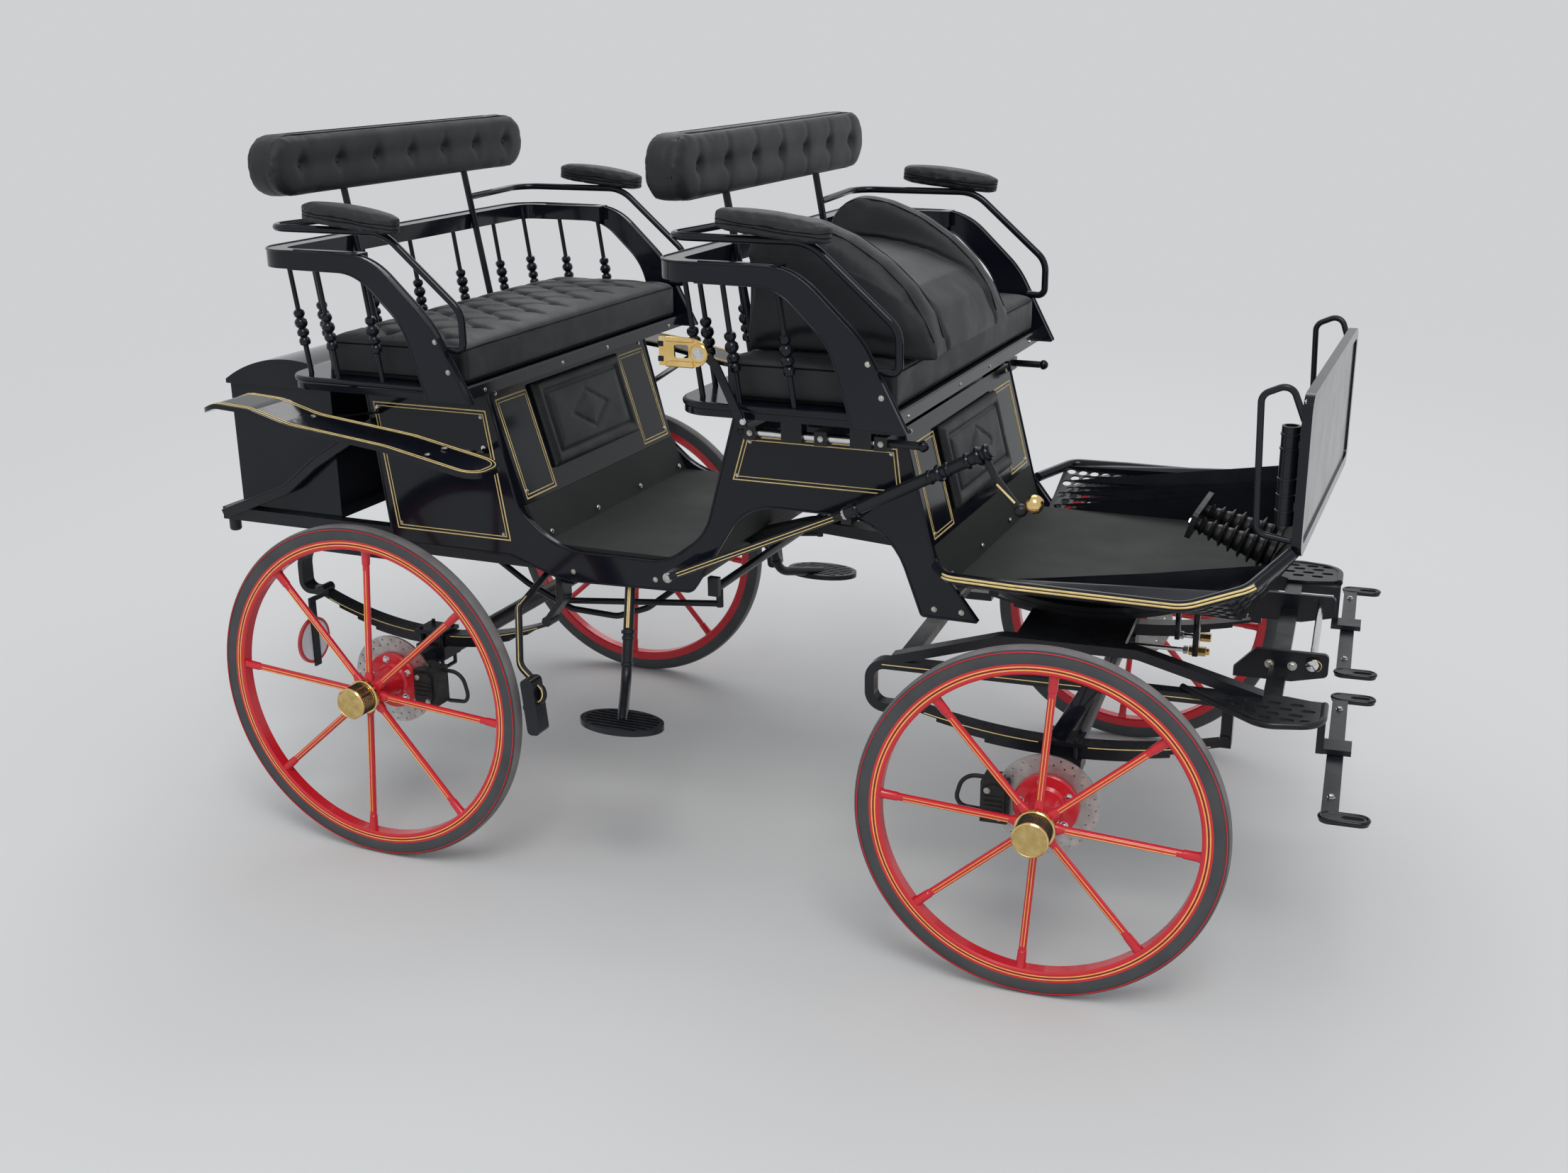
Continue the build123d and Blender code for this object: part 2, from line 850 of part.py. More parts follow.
wing_profile = [
    # x and z along the top of the wing
    (-388, 1136), (-330, 1158), (-230, 1152), (-120, 1122), (150, 1092), (400, 1042),
]
wing_bends = [40, 120, 200, 400]
wing_inner = 640
wing_outer = 780
wing_thickness = 12
with BuildPart() as wings:
    with BuildSketch(Plane.XZ.offset(wing_inner)):
        with BuildLine():
            top = FilletPolyline(*wing_profile, radius=wing_bends)
            low = FilletPolyline(*[(x, z - wing_thickness) for x, z in wing_profile], radius=wing_bends)
            Line(top @ 0, low @ 0)
            Line(top @ 1, low @ 1)
        make_face()
    extrude(amount=wing_outer - wing_inner)
    with BuildSketch(Plane.XY.offset(1000)):
        with Locations((5, -(wing_inner + wing_outer) / 2)):
            RectangleRounded(790, wing_outer - wing_inner, 55)
    extrude(amount=200, mode=Mode.INTERSECT)
    mirror(about=Plane.XZ)

wings.part.label = "wings"
export_step(stance * wings.part, "parts/wings.step")

wing_stay_table = [
    # x and z on the body side, x and z under the wing
    (-120, 1080, -120, 1118),
    (190, 1000, 250, 1070),
]
with BuildPart() as wing_stays:
    for x_body, z_body, x_wing, z_wing in wing_stay_table:
        add(straight_rod((x_body, -side_outer + 10, z_body), (x_wing, -700, z_wing), 8))
    add(wings.part, mode=Mode.SUBTRACT)
    add(side_panels.part, mode=Mode.SUBTRACT)
    mirror(about=Plane.XZ)

wing_stays.part.label = "wing_stays"
export_step(stance * wing_stays.part, "parts/wing_stays.step")


# Lamp brackets on strap irons at the rear corners of the front seat

lamp_inner = board_half_width + blade_thickness + 2
lamp_outer = lamp_inner + 22
lamp_foot = board_half_width + 18
with BuildPart() as lamp_brackets:
    add(block((800, -lamp_outer, 1300), (922, -lamp_inner, 1362)))
    add(straight_rod((905, -(lamp_inner + lamp_outer) / 2, 1320), (985, -lamp_foot + 8, 1200), 8))
    add(block((968, -lamp_foot, 1186), (1002, -board_half_width, 1214)))
    mirror(about=Plane.XZ)

lamp_brackets.part.label = "lamp_brackets"
export_step(stance * lamp_brackets.part, "parts/lamp_brackets.step")


# Side steps on bent posts under the sills

step_x = 672
step_y = 638
step_z = 424
step_half_length = 108
step_half_width = 64
step_thickness = 14
step_rim = 12
step_slot_rows = 3
step_slot_pitch = 15
step_slot_width = 8
with BuildPart() as side_steps:
    add(bent_rod([(575, -390, 708), (600, -480, 470), (step_x, -step_y, step_z + 7)], [60], 13))
    with BuildSketch(Plane.XY.offset(step_z)):
        with Locations((step_x, -step_y)):
            Ellipse(step_half_length, step_half_width)
        for row in range(-step_slot_rows, step_slot_rows + 1):
            off = row * step_slot_pitch
            reach = (step_half_length - step_rim) * (1 - (off / (step_half_width - step_rim / 2)) ** 2) ** 0.5
            with Locations((step_x, off - step_y)):
                SlotOverall(2 * reach, step_slot_width, mode=Mode.SUBTRACT)
    extrude(amount=step_thickness)
    add(side_panels.part, mode=Mode.SUBTRACT)
    add(body_frame.part, mode=Mode.SUBTRACT)
    mirror(about=Plane.XZ)

side_steps.part.label = "side_steps"
export_step(stance * side_steps.part, "parts/side_steps.step")


# Spindle hand-brake on the right side

brake_y = -500
brake_low = Vector(737, brake_y, 761)
brake_bolt = Vector(1190, brake_y, 964)
brake_top = Vector(1524, brake_y, 1138)
crank_tip = Vector(1590, brake_y, 1012)
with BuildPart() as hand_brake:
    add(straight_rod(brake_low, brake_bolt, 9))
    add(straight_rod(brake_bolt, brake_top, 14))
    add(bent_rod([brake_top - Vector(17, 0, 9), brake_top + Vector(6, 0, -53), crank_tip], [30], 8))
    with Locations(crank_tip + Vector(2, 0, 0)):
        Sphere(15)
    add(block((brake_bolt.X - 10, brake_y - 5, brake_bolt.Z - 24),
              (brake_bolt.X + 14, -side_outer, brake_bolt.Z + 12)))
    add(block((brake_low.X - 9, brake_y - 5, brake_low.Z - 11),
              (brake_low.X + 11, -side_outer, brake_low.Z + 9)))

hand_brake.part.label = "hand_brake"
export_step(stance * hand_brake.part, "parts/hand_brake.step")


# Rear brake gear: a cross shaft under the foot well, bent arms and blocks at the tyres

shaft_x = 330
shaft_z = 690
brake_arm_route = [(shaft_x, -376, shaft_z), (352, -560, 655), (430, -690, 560), (520, -712, 502),
                   (452, -712, 462)]
with BuildPart() as brake_gear:
    add(bent_rod(brake_arm_route, [50, 50, 20], 9))
    with BuildSketch(Plane.XZ.offset(712 - 22)):
        with Locations(Location((478, 475, 0), (0, 0, 6))):
            RectangleRounded(34, 140, 12)
    extrude(amount=44)
    add(straight_rod((790, -330, 700), (790, -330, 640), 9))
    add(straight_rod((790, -330, 648), (shaft_x, -330, 600), 8))
    add(straight_rod((shaft_x, -330, shaft_z), (shaft_x, -330, 592), 8))
    mirror(about=Plane.XZ)
    add(straight_rod((shaft_x, -380, shaft_z), (shaft_x, 380, shaft_z), 11))
    add(straight_rod((790, -368, 694), (790, 368, 694), 11))
    for x in (shaft_x - 14, 776):
        for y in (-368, 352):
            add(block((x, y, shaft_z - 12), (x + 28, y + 16, frame_low + 20)))
    add(body_frame.part, mode=Mode.SUBTRACT)

brake_gear.part.label = "brake_gear"
export_step(stance * brake_gear.part, "parts/brake_gear.step")


# Rear under-gear: axle, springs, hangers

def axle_beam(track, radius, spring_y, spring):
    """A round axle with a seat for each spring, clamped on it by a plate and U-bolts."""
    end = track / 2 - hub_inner + axle_in_hub
    seat = radius + axle_radius + axle_pad
    leaves_top = seat + leaf_count * leaf_thickness
    bolt_y = leaf_width / 2 + clamp_gap + clamp_bolt_radius
    half_width = bolt_y + clamp_bolt_radius + 3
    with BuildPart() as axle:
        add(straight_rod((0, -end, radius), (0, end, radius), axle_radius))
        for side in (-1, 1):
            middle = side * spring_y
            add(block((-clamp_half_length, middle - half_width, radius),
                      (clamp_half_length, middle + half_width, seat)))
            add(block((-clamp_half_length, middle - half_width, leaves_top),
                      (clamp_half_length, middle + half_width, leaves_top + clamp_plate)))
            for x in (-clamp_bolt_x, clamp_bolt_x):
                for y in (middle - bolt_y, middle + bolt_y):
                    add(straight_rod((x, y, radius - axle_radius - 6), (x, y, leaves_top + clamp_plate + 8),
                                     clamp_bolt_radius))
                add(straight_rod((x, middle - bolt_y, radius - axle_radius - 6),
                                 (x, middle + bolt_y, radius - axle_radius - 6), clamp_bolt_radius))
        add(spring.part, mode=Mode.SUBTRACT)
    return axle


def leaf_spring(half_span, y, z_seat, z_eye, leaves):
    """A pair of half-elliptic springs: stacked leaves, with an eye at each end of the top one."""
    with BuildPart() as spring:
        for i in range(leaves):
            span = half_span * (0.35 + 0.65 * (i + 1) / leaves)
            low = z_seat + i * leaf_thickness
            rise = (z_eye - z_seat - leaves * leaf_thickness) * (span / half_span) ** 2
            with BuildSketch(Plane.XZ.offset(y - leaf_width / 2)):
                with BuildLine():
                    bottom = ThreePointArc((-span, low + rise), (0, low), (span, low + rise))
                    top = ThreePointArc((-span, low + rise + leaf_thickness), (0, low + leaf_thickness),
                                        (span, low + rise + leaf_thickness))
                    Line(bottom @ 0, top @ 0)
                    Line(bottom @ 1, top @ 1)
                make_face()
            extrude(amount=leaf_width)
        for end in (-1, 1):
            with BuildSketch(Plane.XZ.offset(y - leaf_width / 2)):
                with Locations((end * half_span, z_eye + 4)):
                    Circle(13)
            extrude(amount=leaf_width)
        mirror(about=Plane.XZ)
    return spring


rear_springs = leaf_spring(spring_half_span, rear_spring_y, rear_wheel_radius + axle_radius + axle_pad, 572,
                           leaf_count)
rear_springs.part.label = "rear_springs"
export_step(stance * rear_springs.part, "parts/rear_springs.step")

rear_axle = axle_beam(rear_track, rear_wheel_radius, rear_spring_y, rear_springs)
rear_axle.part.label = "rear_axle"
export_step(stance * rear_axle.part, "parts/rear_axle.step")

rear_loop_route = [(-110, -rear_spring_y, 696), (-412, -rear_spring_y, 696),
                   (-412, -rear_spring_y, 570), (-352, -rear_spring_y, 570)]
rear_shackle_route = [(350, -rear_spring_y, 580), (396, -rear_spring_y, 640),
                      (396, -rear_spring_y, 688)]
with BuildPart() as rear_hangers:
    add(bent_bar(rear_loop_route, [60, 26], leaf_width, hanger_thickness))
    add(bent_bar(rear_shackle_route, [30], leaf_width, hanger_thickness))
    add(block((-139, -rear_spring_y - leaf_width / 2, 689), (-60, -370, frame_low)))
    add(rear_springs.part, mode=Mode.SUBTRACT)
    add(body_frame.part, mode=Mode.SUBTRACT)
    add(side_panels.part, mode=Mode.SUBTRACT)
    mirror(about=Plane.XZ)

rear_hangers.part.label = "rear_hangers"
export_step(stance * rear_hangers.part, "parts/rear_hangers.step")


def caliper_pair(x, track, z, axle):
    """Brake calipers astride the discs, each on an arm from the axle, with its looped hose."""
    y = track / 2 - hub_inner - disc_thickness / 2
    way = 1 if x > 0 else -1
    length, width, height = caliper_size
    inner = -y + width / 2
    hose_route = [
        (x + way * 10, inner - 12, z + height / 2 - 12),
        (x + way * 80, inner - 12, z + height / 2 - 12),
        (x + way * 100, inner - 12, z - 40),
        (x + way * 10, inner + 20, z - 60),
        (way * 30, inner + 60, z + 8),
    ]
    with BuildPart() as calipers:
        add(block((x - length / 2, -y - width / 2, z - height / 2),
                  (x + length / 2, inner, z + height / 2)))
        with BuildSketch(Plane.XZ.offset(y - disc_thickness / 2 - caliper_gap)):
            with Locations((0, z)):
                Circle(disc_radius + caliper_gap)
        extrude(amount=disc_thickness + 2 * caliper_gap, mode=Mode.SUBTRACT)
        add(block((min(0, x), inner - caliper_arm, z - 20), (max(0, x), inner, z + 20)))
        add(bent_rod(hose_route, [40, 30, 30], hose_radius))
        add(axle.part, mode=Mode.SUBTRACT)
        mirror(about=Plane.XZ)
    return calipers


rear_calipers = caliper_pair(caliper_x, rear_track, rear_wheel_radius, rear_axle)
rear_calipers.part.label = "rear_calipers"
export_step(stance * rear_calipers.part, "parts/rear_calipers.step")


# Round reflectors hung on straps behind the rear springs

reflector_x = -330
reflector_y = 500
reflector_z = 460
with BuildPart() as reflectors:
    with BuildSketch(Plane.YZ.offset(reflector_x)):
        with Locations((-reflector_y, reflector_z)):
            Circle(62)
    extrude(amount=-6)
    add(block((reflector_x, -reflector_y - 12, 390), (reflector_x + 6, -reflector_y + 12, 580)))
    add(block((reflector_x, -reflector_y - 12, 568), (reflector_x + 6, -rear_spring_y - leaf_width / 2, 580)))
    mirror(about=Plane.XZ)
    add(rear_hangers.part, mode=Mode.SUBTRACT)

reflectors.part.label = "reflectors"
export_step(stance * reflectors.part, "parts/reflectors.step")


# Wheels

wheels = [
    # corner, radius over the tyre, distance off the centre line, side (-1 is right), place
    ("rear_right", rear_wheel_radius, rear_track / 2, -1, stance),
    ("rear_left", rear_wheel_radius, rear_track / 2, 1, stance),
    ("front_right", front_wheel_radius, front_track / 2, -1, fore_place),
    ("front_left", front_wheel_radius, front_track / 2, 1, fore_place),
]


def wheel_set(radius, offset_y, side):
    """Wheel, tyre, and disc with hub cap, about an axle at the wheel's own height."""
    hub = Plane(origin=(0, side * offset_y, radius), x_dir=(1, 0, 0), z_dir=(0, side, 0))
    rim_radius = radius - tyre_height
    section = Plane(origin=hub.origin, x_dir=(0, 0, 1), z_dir=(1, 0, 0))
    axle_line = Axis(origin=hub.origin, direction=(0, 1, 0))
    half = tyre_width / 2
    with BuildPart() as tyre:
        with BuildSketch(section):
            with BuildLine():
                Polyline((rim_radius, -half), (radius - tyre_shoulder, -half),
                         (radius, -half + tyre_shoulder), (radius, half - tyre_shoulder),
                         (radius - tyre_shoulder, half), (rim_radius, half), close=True)
            make_face()
        revolve(axis=axle_line)
    with BuildPart() as wheel:
        with BuildSketch(hub.offset(-rim_width / 2)):
            Circle(rim_radius)
            Circle(rim_radius - rim_depth, mode=Mode.SUBTRACT)
        extrude(amount=rim_width)
        for i in range(spoke_count):
            radial = Vector(0, 0, 1).rotate(Axis.Y, spoke_lean + i * 360 / spoke_count)
            foot = Plane(origin=hub.origin, x_dir=(0, 1, 0), z_dir=radial)
            length = rim_radius - rim_depth / 2
            with BuildSketch(foot.offset(hub_radius / 2)):
                Circle(spoke_radius)
            extrude(amount=length - hub_radius / 2)
            with BuildSketch(foot.offset(length - spoke_collar_length)):
                Circle(spoke_collar_radius)
            extrude(amount=spoke_collar_length)
        with BuildSketch(hub.offset(-hub_inner)):
            Circle(hub_radius)
        extrude(amount=hub_inner + hub_outer)
        with BuildSketch(hub.offset(-hub_inner)):
            Circle(flange_radius)
        extrude(amount=flange_thickness)
        with BuildSketch(hub.offset(-hub_inner)):
            Circle(axle_radius + axle_gap)
        extrude(amount=axle_in_hub + 1, mode=Mode.SUBTRACT)
    with BuildPart() as metal:
        with BuildSketch(hub.offset(-hub_inner - disc_thickness)):
            Circle(disc_radius)
            Circle(disc_bore, mode=Mode.SUBTRACT)
        extrude(amount=disc_thickness)
        with BuildSketch(hub.offset(hub_outer)):
            Circle(cap_radius)
        extrude(amount=cap_length)
        chamfer(metal.faces().sort_by(Axis(hub.origin, hub.z_dir))[-1].edges(), cap_edge)
    return {"wheel": wheel, "tyre": tyre, "disc_and_cap": metal}


for corner, radius, offset_y, side, place in wheels:
    for kind, piece in wheel_set(radius, offset_y, side).items():
        label = f"{kind}_{corner}"
        piece.part.label = label
        export_step(place * piece.part, f"parts/{label}.step")


# Fore-carriage

front_springs = leaf_spring(spring_half_span, front_spring_y, front_wheel_radius + axle_radius + axle_pad,
                            512, leaf_count)
front_springs.part.label = "front_springs"
export_step(fore_place * front_springs.part, "parts/front_springs.step")

front_axle = axle_beam(front_track, front_wheel_radius, front_spring_y, front_springs)
front_axle.part.label = "front_axle"
export_step(fore_place * front_axle.part, "parts/front_axle.step")

front_calipers = caliper_pair(-caliper_x, front_track, front_wheel_radius, front_axle)
front_calipers.part.label = "front_calipers"
export_step(fore_place * front_calipers.part, "parts/front_calipers.step")

fore_rail_z = 606
fore_rail_height = 22
fore_rail_width = 36
fore_rail_top = fore_rail_z + fore_rail_height / 2
fore_top = upper_ring_top - 2 * ring_thickness - ring_gap
swingle_x = 580
swingle_y = 416
swingle_low = 500
swingle_thickness = 10
swingle_gap = 3
swingle_pin = 8
scroll_route = [(-356, -front_spring_y, 500), (-455, -front_spring_y, 500),
                (-455, -front_spring_y, fore_rail_z), (555, -front_spring_y, fore_rail_z)]
arch_route = [(-400, -front_spring_y, 620), (-150, -front_spring_y, fore_top - 11),
              (150, -front_spring_y, fore_top - 11), (420, -front_spring_y, 620)]
fore_blocks = [
    # lowest corner, highest corner: front spring hanger, strap and lug of the swingletree
    ((340, -front_spring_y - 18, 500), (364, -front_spring_y + 18, fore_rail_z)),
    ((539, -front_spring_y - 18, swingle_low + 13), (555, -front_spring_y + 18, fore_rail_z)),
    ((539, -swingle_y - 30, swingle_low + 13), (612, -swingle_y + 30, swingle_low + 25)),
]
with BuildPart() as fore_frame:
    add(bent_bar(scroll_route, [36, 36], fore_rail_width, fore_rail_height))
    add(bent_bar(arch_route, [80, 80], fore_rail_width, fore_rail_height))
    for low, high in fore_blocks:
        add(block(low, high))
    add(straight_rod((swingle_x, -swingle_y, swingle_low - 12), (swingle_x, -swingle_y, swingle_low + 13),
                     swingle_pin))
    add(straight_rod((swingle_x, -swingle_y, swingle_low - 12), (swingle_x, -swingle_y, swingle_low - 3),
                     15))
    mirror(about=Plane.XZ)
    for x in (-400, -20, 420):
        add(block((x, -front_spring_y, 595), (x + 40, front_spring_y, fore_rail_top)))
    add(block((-120, -front_spring_y, fore_top - 16), (120, front_spring_y, fore_top)))
    with BuildSketch(Plane.XY.offset(fore_top)):
        Circle(ring_radius + ring_width / 2)
        Circle(ring_radius - ring_width / 2, mode=Mode.SUBTRACT)
        Rectangle(60, 2 * ring_radius)
        Circle(king_pin_radius + king_pin_gap, mode=Mode.SUBTRACT)
    extrude(amount=ring_thickness)
    add(front_springs.part, mode=Mode.SUBTRACT)

fore_frame.part.label = "fore_frame"
export_step(fore_place * fore_frame.part, "parts/fore_frame.step")

pole_y = 212
pole_pin_x = 513
pole_pin_z = 632
pole_pin_radius = 8
bracket_outline = [
    # x, z, corner radius
    (342, 606, 0), (387, 655, 10), (548, 655, 12), (548, 602, 12), (470, 584, 10), (342, 584, 0),
]
with BuildPart() as pole_pin:
    add(straight_rod((pole_pin_x, -pole_y - 24, pole_pin_z), (pole_pin_x, pole_y + 24, pole_pin_z),
                     pole_pin_radius))

pole_pin.part.label = "pole_pin"
export_step(fore_place * pole_pin.part, "parts/pole_pin.step")

with BuildPart() as pole_brackets:
    add(upright_plate(bracket_outline, pole_y - 6, pole_y + 6))
    mirror(about=Plane.XZ)
    add(fore_frame.part, mode=Mode.SUBTRACT)
    add(pole_pin.part, mode=Mode.SUBTRACT)

pole_brackets.part.label = "pole_brackets"
export_step(fore_place * pole_brackets.part, "parts/pole_brackets.step")

front_step_outline = [
    # x, y, corner radius
    (250, -420, 0), (300, -470, 40), (430, -590, 60), (550, -560, 60), (550, -440, 30), (470, -420, 0),
]
front_step_holes = [
    # y of the row, x of its holes
    (-466, (350, 398, 446, 494)),
    (-496, (374, 422, 470, 518)),
    (-526, (398, 446, 494)),
    (-554, (430, 478, 518)),
]
front_step_plate = 8
front_step_bar = 8
front_step_hole = (30, 16)
with BuildPart() as front_steps:
    with BuildSketch(Plane.XY.offset(fore_rail_top)):
        with BuildLine():
            outline(front_step_outline)
        make_face()
        for y, row in front_step_holes:
            with Locations([(x, y) for x in row]):
                SlotOverall(*front_step_hole, mode=Mode.SUBTRACT)
    extrude(amount=front_step_plate)
    edge_route = [(x, y, fore_rail_top + front_step_plate / 2) for x, y, radius in front_step_outline[:-1]]
    add(bent_rod(edge_route, [radius for x, y, radius in front_step_outline[1:-2]], front_step_bar))
    add(fore_frame.part, mode=Mode.SUBTRACT)
    mirror(about=Plane.XZ)

front_steps.part.label = "front_steps"
export_step(fore_place * front_steps.part, "parts/front_steps.step")


# Swingletrees, each on its own upright pin

swingle_half_length = 331
swingle_width = 34
swingle_eye_length = 96
swingle_eye_width = 40
swingle_slot_length = 44
swingle_slot_width = 16
for side_name, side in (("right", -1), ("left", 1)):
    with BuildPart() as swingletree:
        with BuildSketch(Plane.XY.offset(swingle_low)):
            with Locations((swingle_x, side * swingle_y)):
                Rectangle(swingle_width, 2 * swingle_half_length)
            for end in (-1, 1):
                with Locations((swingle_x + 28, side * swingle_y + end * swingle_half_length)):
                    SlotOverall(swingle_eye_length, swingle_eye_width)
                with Locations((swingle_x + 44, side * swingle_y + end * swingle_half_length)):
                    SlotOverall(swingle_slot_length, swingle_slot_width, mode=Mode.SUBTRACT)
            with Locations((swingle_x, side * swingle_y)):
                Circle(swingle_pin + king_pin_gap, mode=Mode.SUBTRACT)
        extrude(amount=swingle_thickness)
    swingletree.part.label = f"swingletree_{side_name}"
    export_step(fore_place * swingletree.part, f"parts/swingletree_{side_name}.step")
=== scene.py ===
import json
import math

import bmesh
import bpy
import numpy as np
from mathutils import Matrix, Vector
from mathutils.bvhtree import BVHTree

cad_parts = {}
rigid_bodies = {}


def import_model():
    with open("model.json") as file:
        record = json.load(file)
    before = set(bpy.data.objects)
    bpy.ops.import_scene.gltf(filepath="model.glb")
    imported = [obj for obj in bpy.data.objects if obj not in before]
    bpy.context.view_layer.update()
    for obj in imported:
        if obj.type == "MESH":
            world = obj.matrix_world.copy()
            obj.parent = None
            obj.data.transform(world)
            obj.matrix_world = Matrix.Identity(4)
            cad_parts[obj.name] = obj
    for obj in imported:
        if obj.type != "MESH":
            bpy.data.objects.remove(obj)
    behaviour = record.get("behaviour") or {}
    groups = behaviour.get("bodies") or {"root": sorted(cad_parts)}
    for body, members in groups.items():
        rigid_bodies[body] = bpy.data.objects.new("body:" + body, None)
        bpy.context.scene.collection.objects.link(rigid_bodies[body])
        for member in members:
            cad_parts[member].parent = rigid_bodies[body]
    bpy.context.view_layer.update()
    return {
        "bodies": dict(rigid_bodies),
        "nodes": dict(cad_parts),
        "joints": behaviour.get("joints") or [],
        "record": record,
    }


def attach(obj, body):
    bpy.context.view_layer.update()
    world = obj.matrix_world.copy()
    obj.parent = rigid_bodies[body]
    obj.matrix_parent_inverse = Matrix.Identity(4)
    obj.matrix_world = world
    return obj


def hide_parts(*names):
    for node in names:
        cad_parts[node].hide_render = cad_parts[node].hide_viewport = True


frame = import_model()
cadNodes = frame["nodes"]
print("frame loaded:", len(cadNodes), "nodes")

# Places are given in millimetres from the rear axle, or from the king pin for the fore-carriage
rearAxleX = -0.85289
kingPinX = 1.662
foreTurn = 4.1
foreFrame = (Matrix.Translation((rearAxleX + kingPinX, 0, 0))
             @ Matrix.Rotation(math.radians(foreTurn), 4, "Z"))
bodyFrame = Matrix.Translation((rearAxleX, 0, 0))


def at(x, y, z):
    return bodyFrame @ Vector((x / 1000, y / 1000, z / 1000))


def fore(x, y, z):
    return foreFrame @ Vector((x / 1000, y / 1000, z / 1000))


# Camera at the photograph's place, and a pale studio round the carriage

cameraSetup = {
    "place": (1.66913, -3.93192, 2.00209),
    "azimuth": 23.402,
    "elevation": 18.181,
    "roll": -0.631,
    "lens": 39.1,
}


def makeCamera(setup):
    azimuth, elevation, roll = (math.radians(setup[k]) for k in ("azimuth", "elevation", "roll"))
    back = Vector((math.sin(azimuth) * math.cos(elevation), -math.cos(azimuth) * math.cos(elevation),
                   math.sin(elevation)))
    right = (-back).cross(Vector((0, 0, 1))).normalized()
    up = right.cross(-back)
    across = math.cos(roll) * right + math.sin(roll) * up
    upright = math.cos(roll) * up - math.sin(roll) * right
    data = bpy.data.cameras.new("camera")
    data.lens = setup["lens"]
    data.sensor_width = 36
    data.sensor_fit = "HORIZONTAL"
    data.clip_end = 200
    camera = bpy.data.objects.new("camera", data)
    turn = Matrix((across, upright, back)).transposed().to_4x4()
    camera.matrix_world = Matrix.Translation(setup["place"]) @ turn
    bpy.context.scene.collection.objects.link(camera)
    bpy.context.scene.camera = camera


studio = {
    "floorRadius": 60,
    "floorFade": (3.0, 9.0),
    "floorColour": (0.62, 0.615, 0.6, 1),
    "skyColour": (0.9, 0.94, 1.0, 1),
    "skyStrength": 0.8,
    "seenSky": (0.62, 0.63, 0.64, 1),
    # name, place, size, power
    "lamps": [
        ("keyLamp", (4.0, -8.0, 12.0), 6.0, 760),
        ("backLamp", (-3.0, 9.0, 10.0), 8.0, 360),
    ],
}


def joined(tree, operation, first, second):
    # What a math node makes of two outputs
    node = tree.nodes.new("ShaderNodeMath")
    node.operation = operation
    tree.links.new(first, node.inputs[0])
    tree.links.new(second, node.inputs[1])
    return node.outputs[0]


def seenRays(tree):
    # 1 for what the camera, a reflection or a clear surface sees, 0 for what lights the object
    rays = tree.nodes.new("ShaderNodeLightPath").outputs
    either = joined(tree, "MAXIMUM", rays["Is Camera Ray"], rays["Is Glossy Ray"])
    return joined(tree, "MAXIMUM", either, rays["Is Transmission Ray"])


def makeStudio(setup):
    # A sky whose colour as a background differs from the one that lights the object, and two lamps
    world = bpy.data.worlds.new("studioWorld")
    bpy.context.scene.world = world
    world.use_nodes = True
    nodes, links = world.node_tree.nodes, world.node_tree.links
    lit = nodes["Background"]
    lit.inputs["Color"].default_value = setup["skyColour"]
    lit.inputs["Strength"].default_value = setup["skyStrength"]
    seen = nodes.new("ShaderNodeBackground")
    seen.inputs["Color"].default_value = setup["seenSky"]
    mix = nodes.new("ShaderNodeMixShader")
    links.new(seenRays(world.node_tree), mix.inputs[0])
    links.new(lit.outputs[0], mix.inputs[1])
    links.new(seen.outputs[0], mix.inputs[2])
    links.new(mix.outputs[0], nodes["World Output"].inputs["Surface"])

    for name, place, size, power in setup["lamps"]:
        lamp = bpy.data.lights.new(name, "AREA")
        lamp.size = size
        lamp.energy = power
        holder = bpy.data.objects.new(name, lamp)
        aim = Vector((0, 0, 0.8)) - Vector(place)
        holder.matrix_world = Matrix.Translation(place) @ aim.to_track_quat("-Z", "Y").to_matrix().to_4x4()
        bpy.context.scene.collection.objects.link(holder)


def makeFloor(setup):
    bm = bmesh.new()
    bmesh.ops.create_circle(bm, cap_ends=True, segments=96, radius=setup["floorRadius"])
    mesh = bpy.data.meshes.new("floor")
    bm.to_mesh(mesh)
    bm.free()
    floor = bpy.data.objects.new("floor", mesh)
    bpy.context.scene.collection.objects.link(floor)
    ground = bpy.data.materials.new("paleFloor")
    ground.use_nodes = True
    nodes, links = ground.node_tree.nodes, ground.node_tree.links
    shader = nodes["Principled BSDF"]
    shader.inputs["Base Color"].default_value = setup["floorColour"]
    shader.inputs["Roughness"].default_value = 0.9
    shader.inputs["Specular IOR Level"].default_value = 0.1
    # far off, the floor passes into the colour of the background
    coords = nodes.new("ShaderNodeTexCoord")
    distance = nodes.new("ShaderNodeVectorMath")
    distance.operation = "LENGTH"
    away = nodes.new("ShaderNodeMapRange")
    away.interpolation_type = "SMOOTHSTEP"
    away.inputs["From Min"].default_value, away.inputs["From Max"].default_value = setup["floorFade"]
    far = nodes.new("ShaderNodeEmission")
    far.inputs["Color"].default_value = setup["seenSky"]
    blend = nodes.new("ShaderNodeMixShader")
    links.new(coords.outputs["Object"], distance.inputs[0])
    links.new(distance.outputs["Value"], away.inputs["Value"])
    share = joined(ground.node_tree, "MULTIPLY", away.outputs["Result"], seenRays(ground.node_tree))
    links.new(share, blend.inputs[0])
    links.new(shader.outputs[0], blend.inputs[1])
    links.new(far.outputs[0], blend.inputs[2])
    links.new(blend.outputs[0], nodes["Material Output"].inputs["Surface"])
    mesh.materials.append(ground)


makeCamera(cameraSetup)
makeStudio(studio)
makeFloor(studio)
bpy.context.scene.view_settings.view_transform = "Standard"
print("camera and studio made")


# Finishes

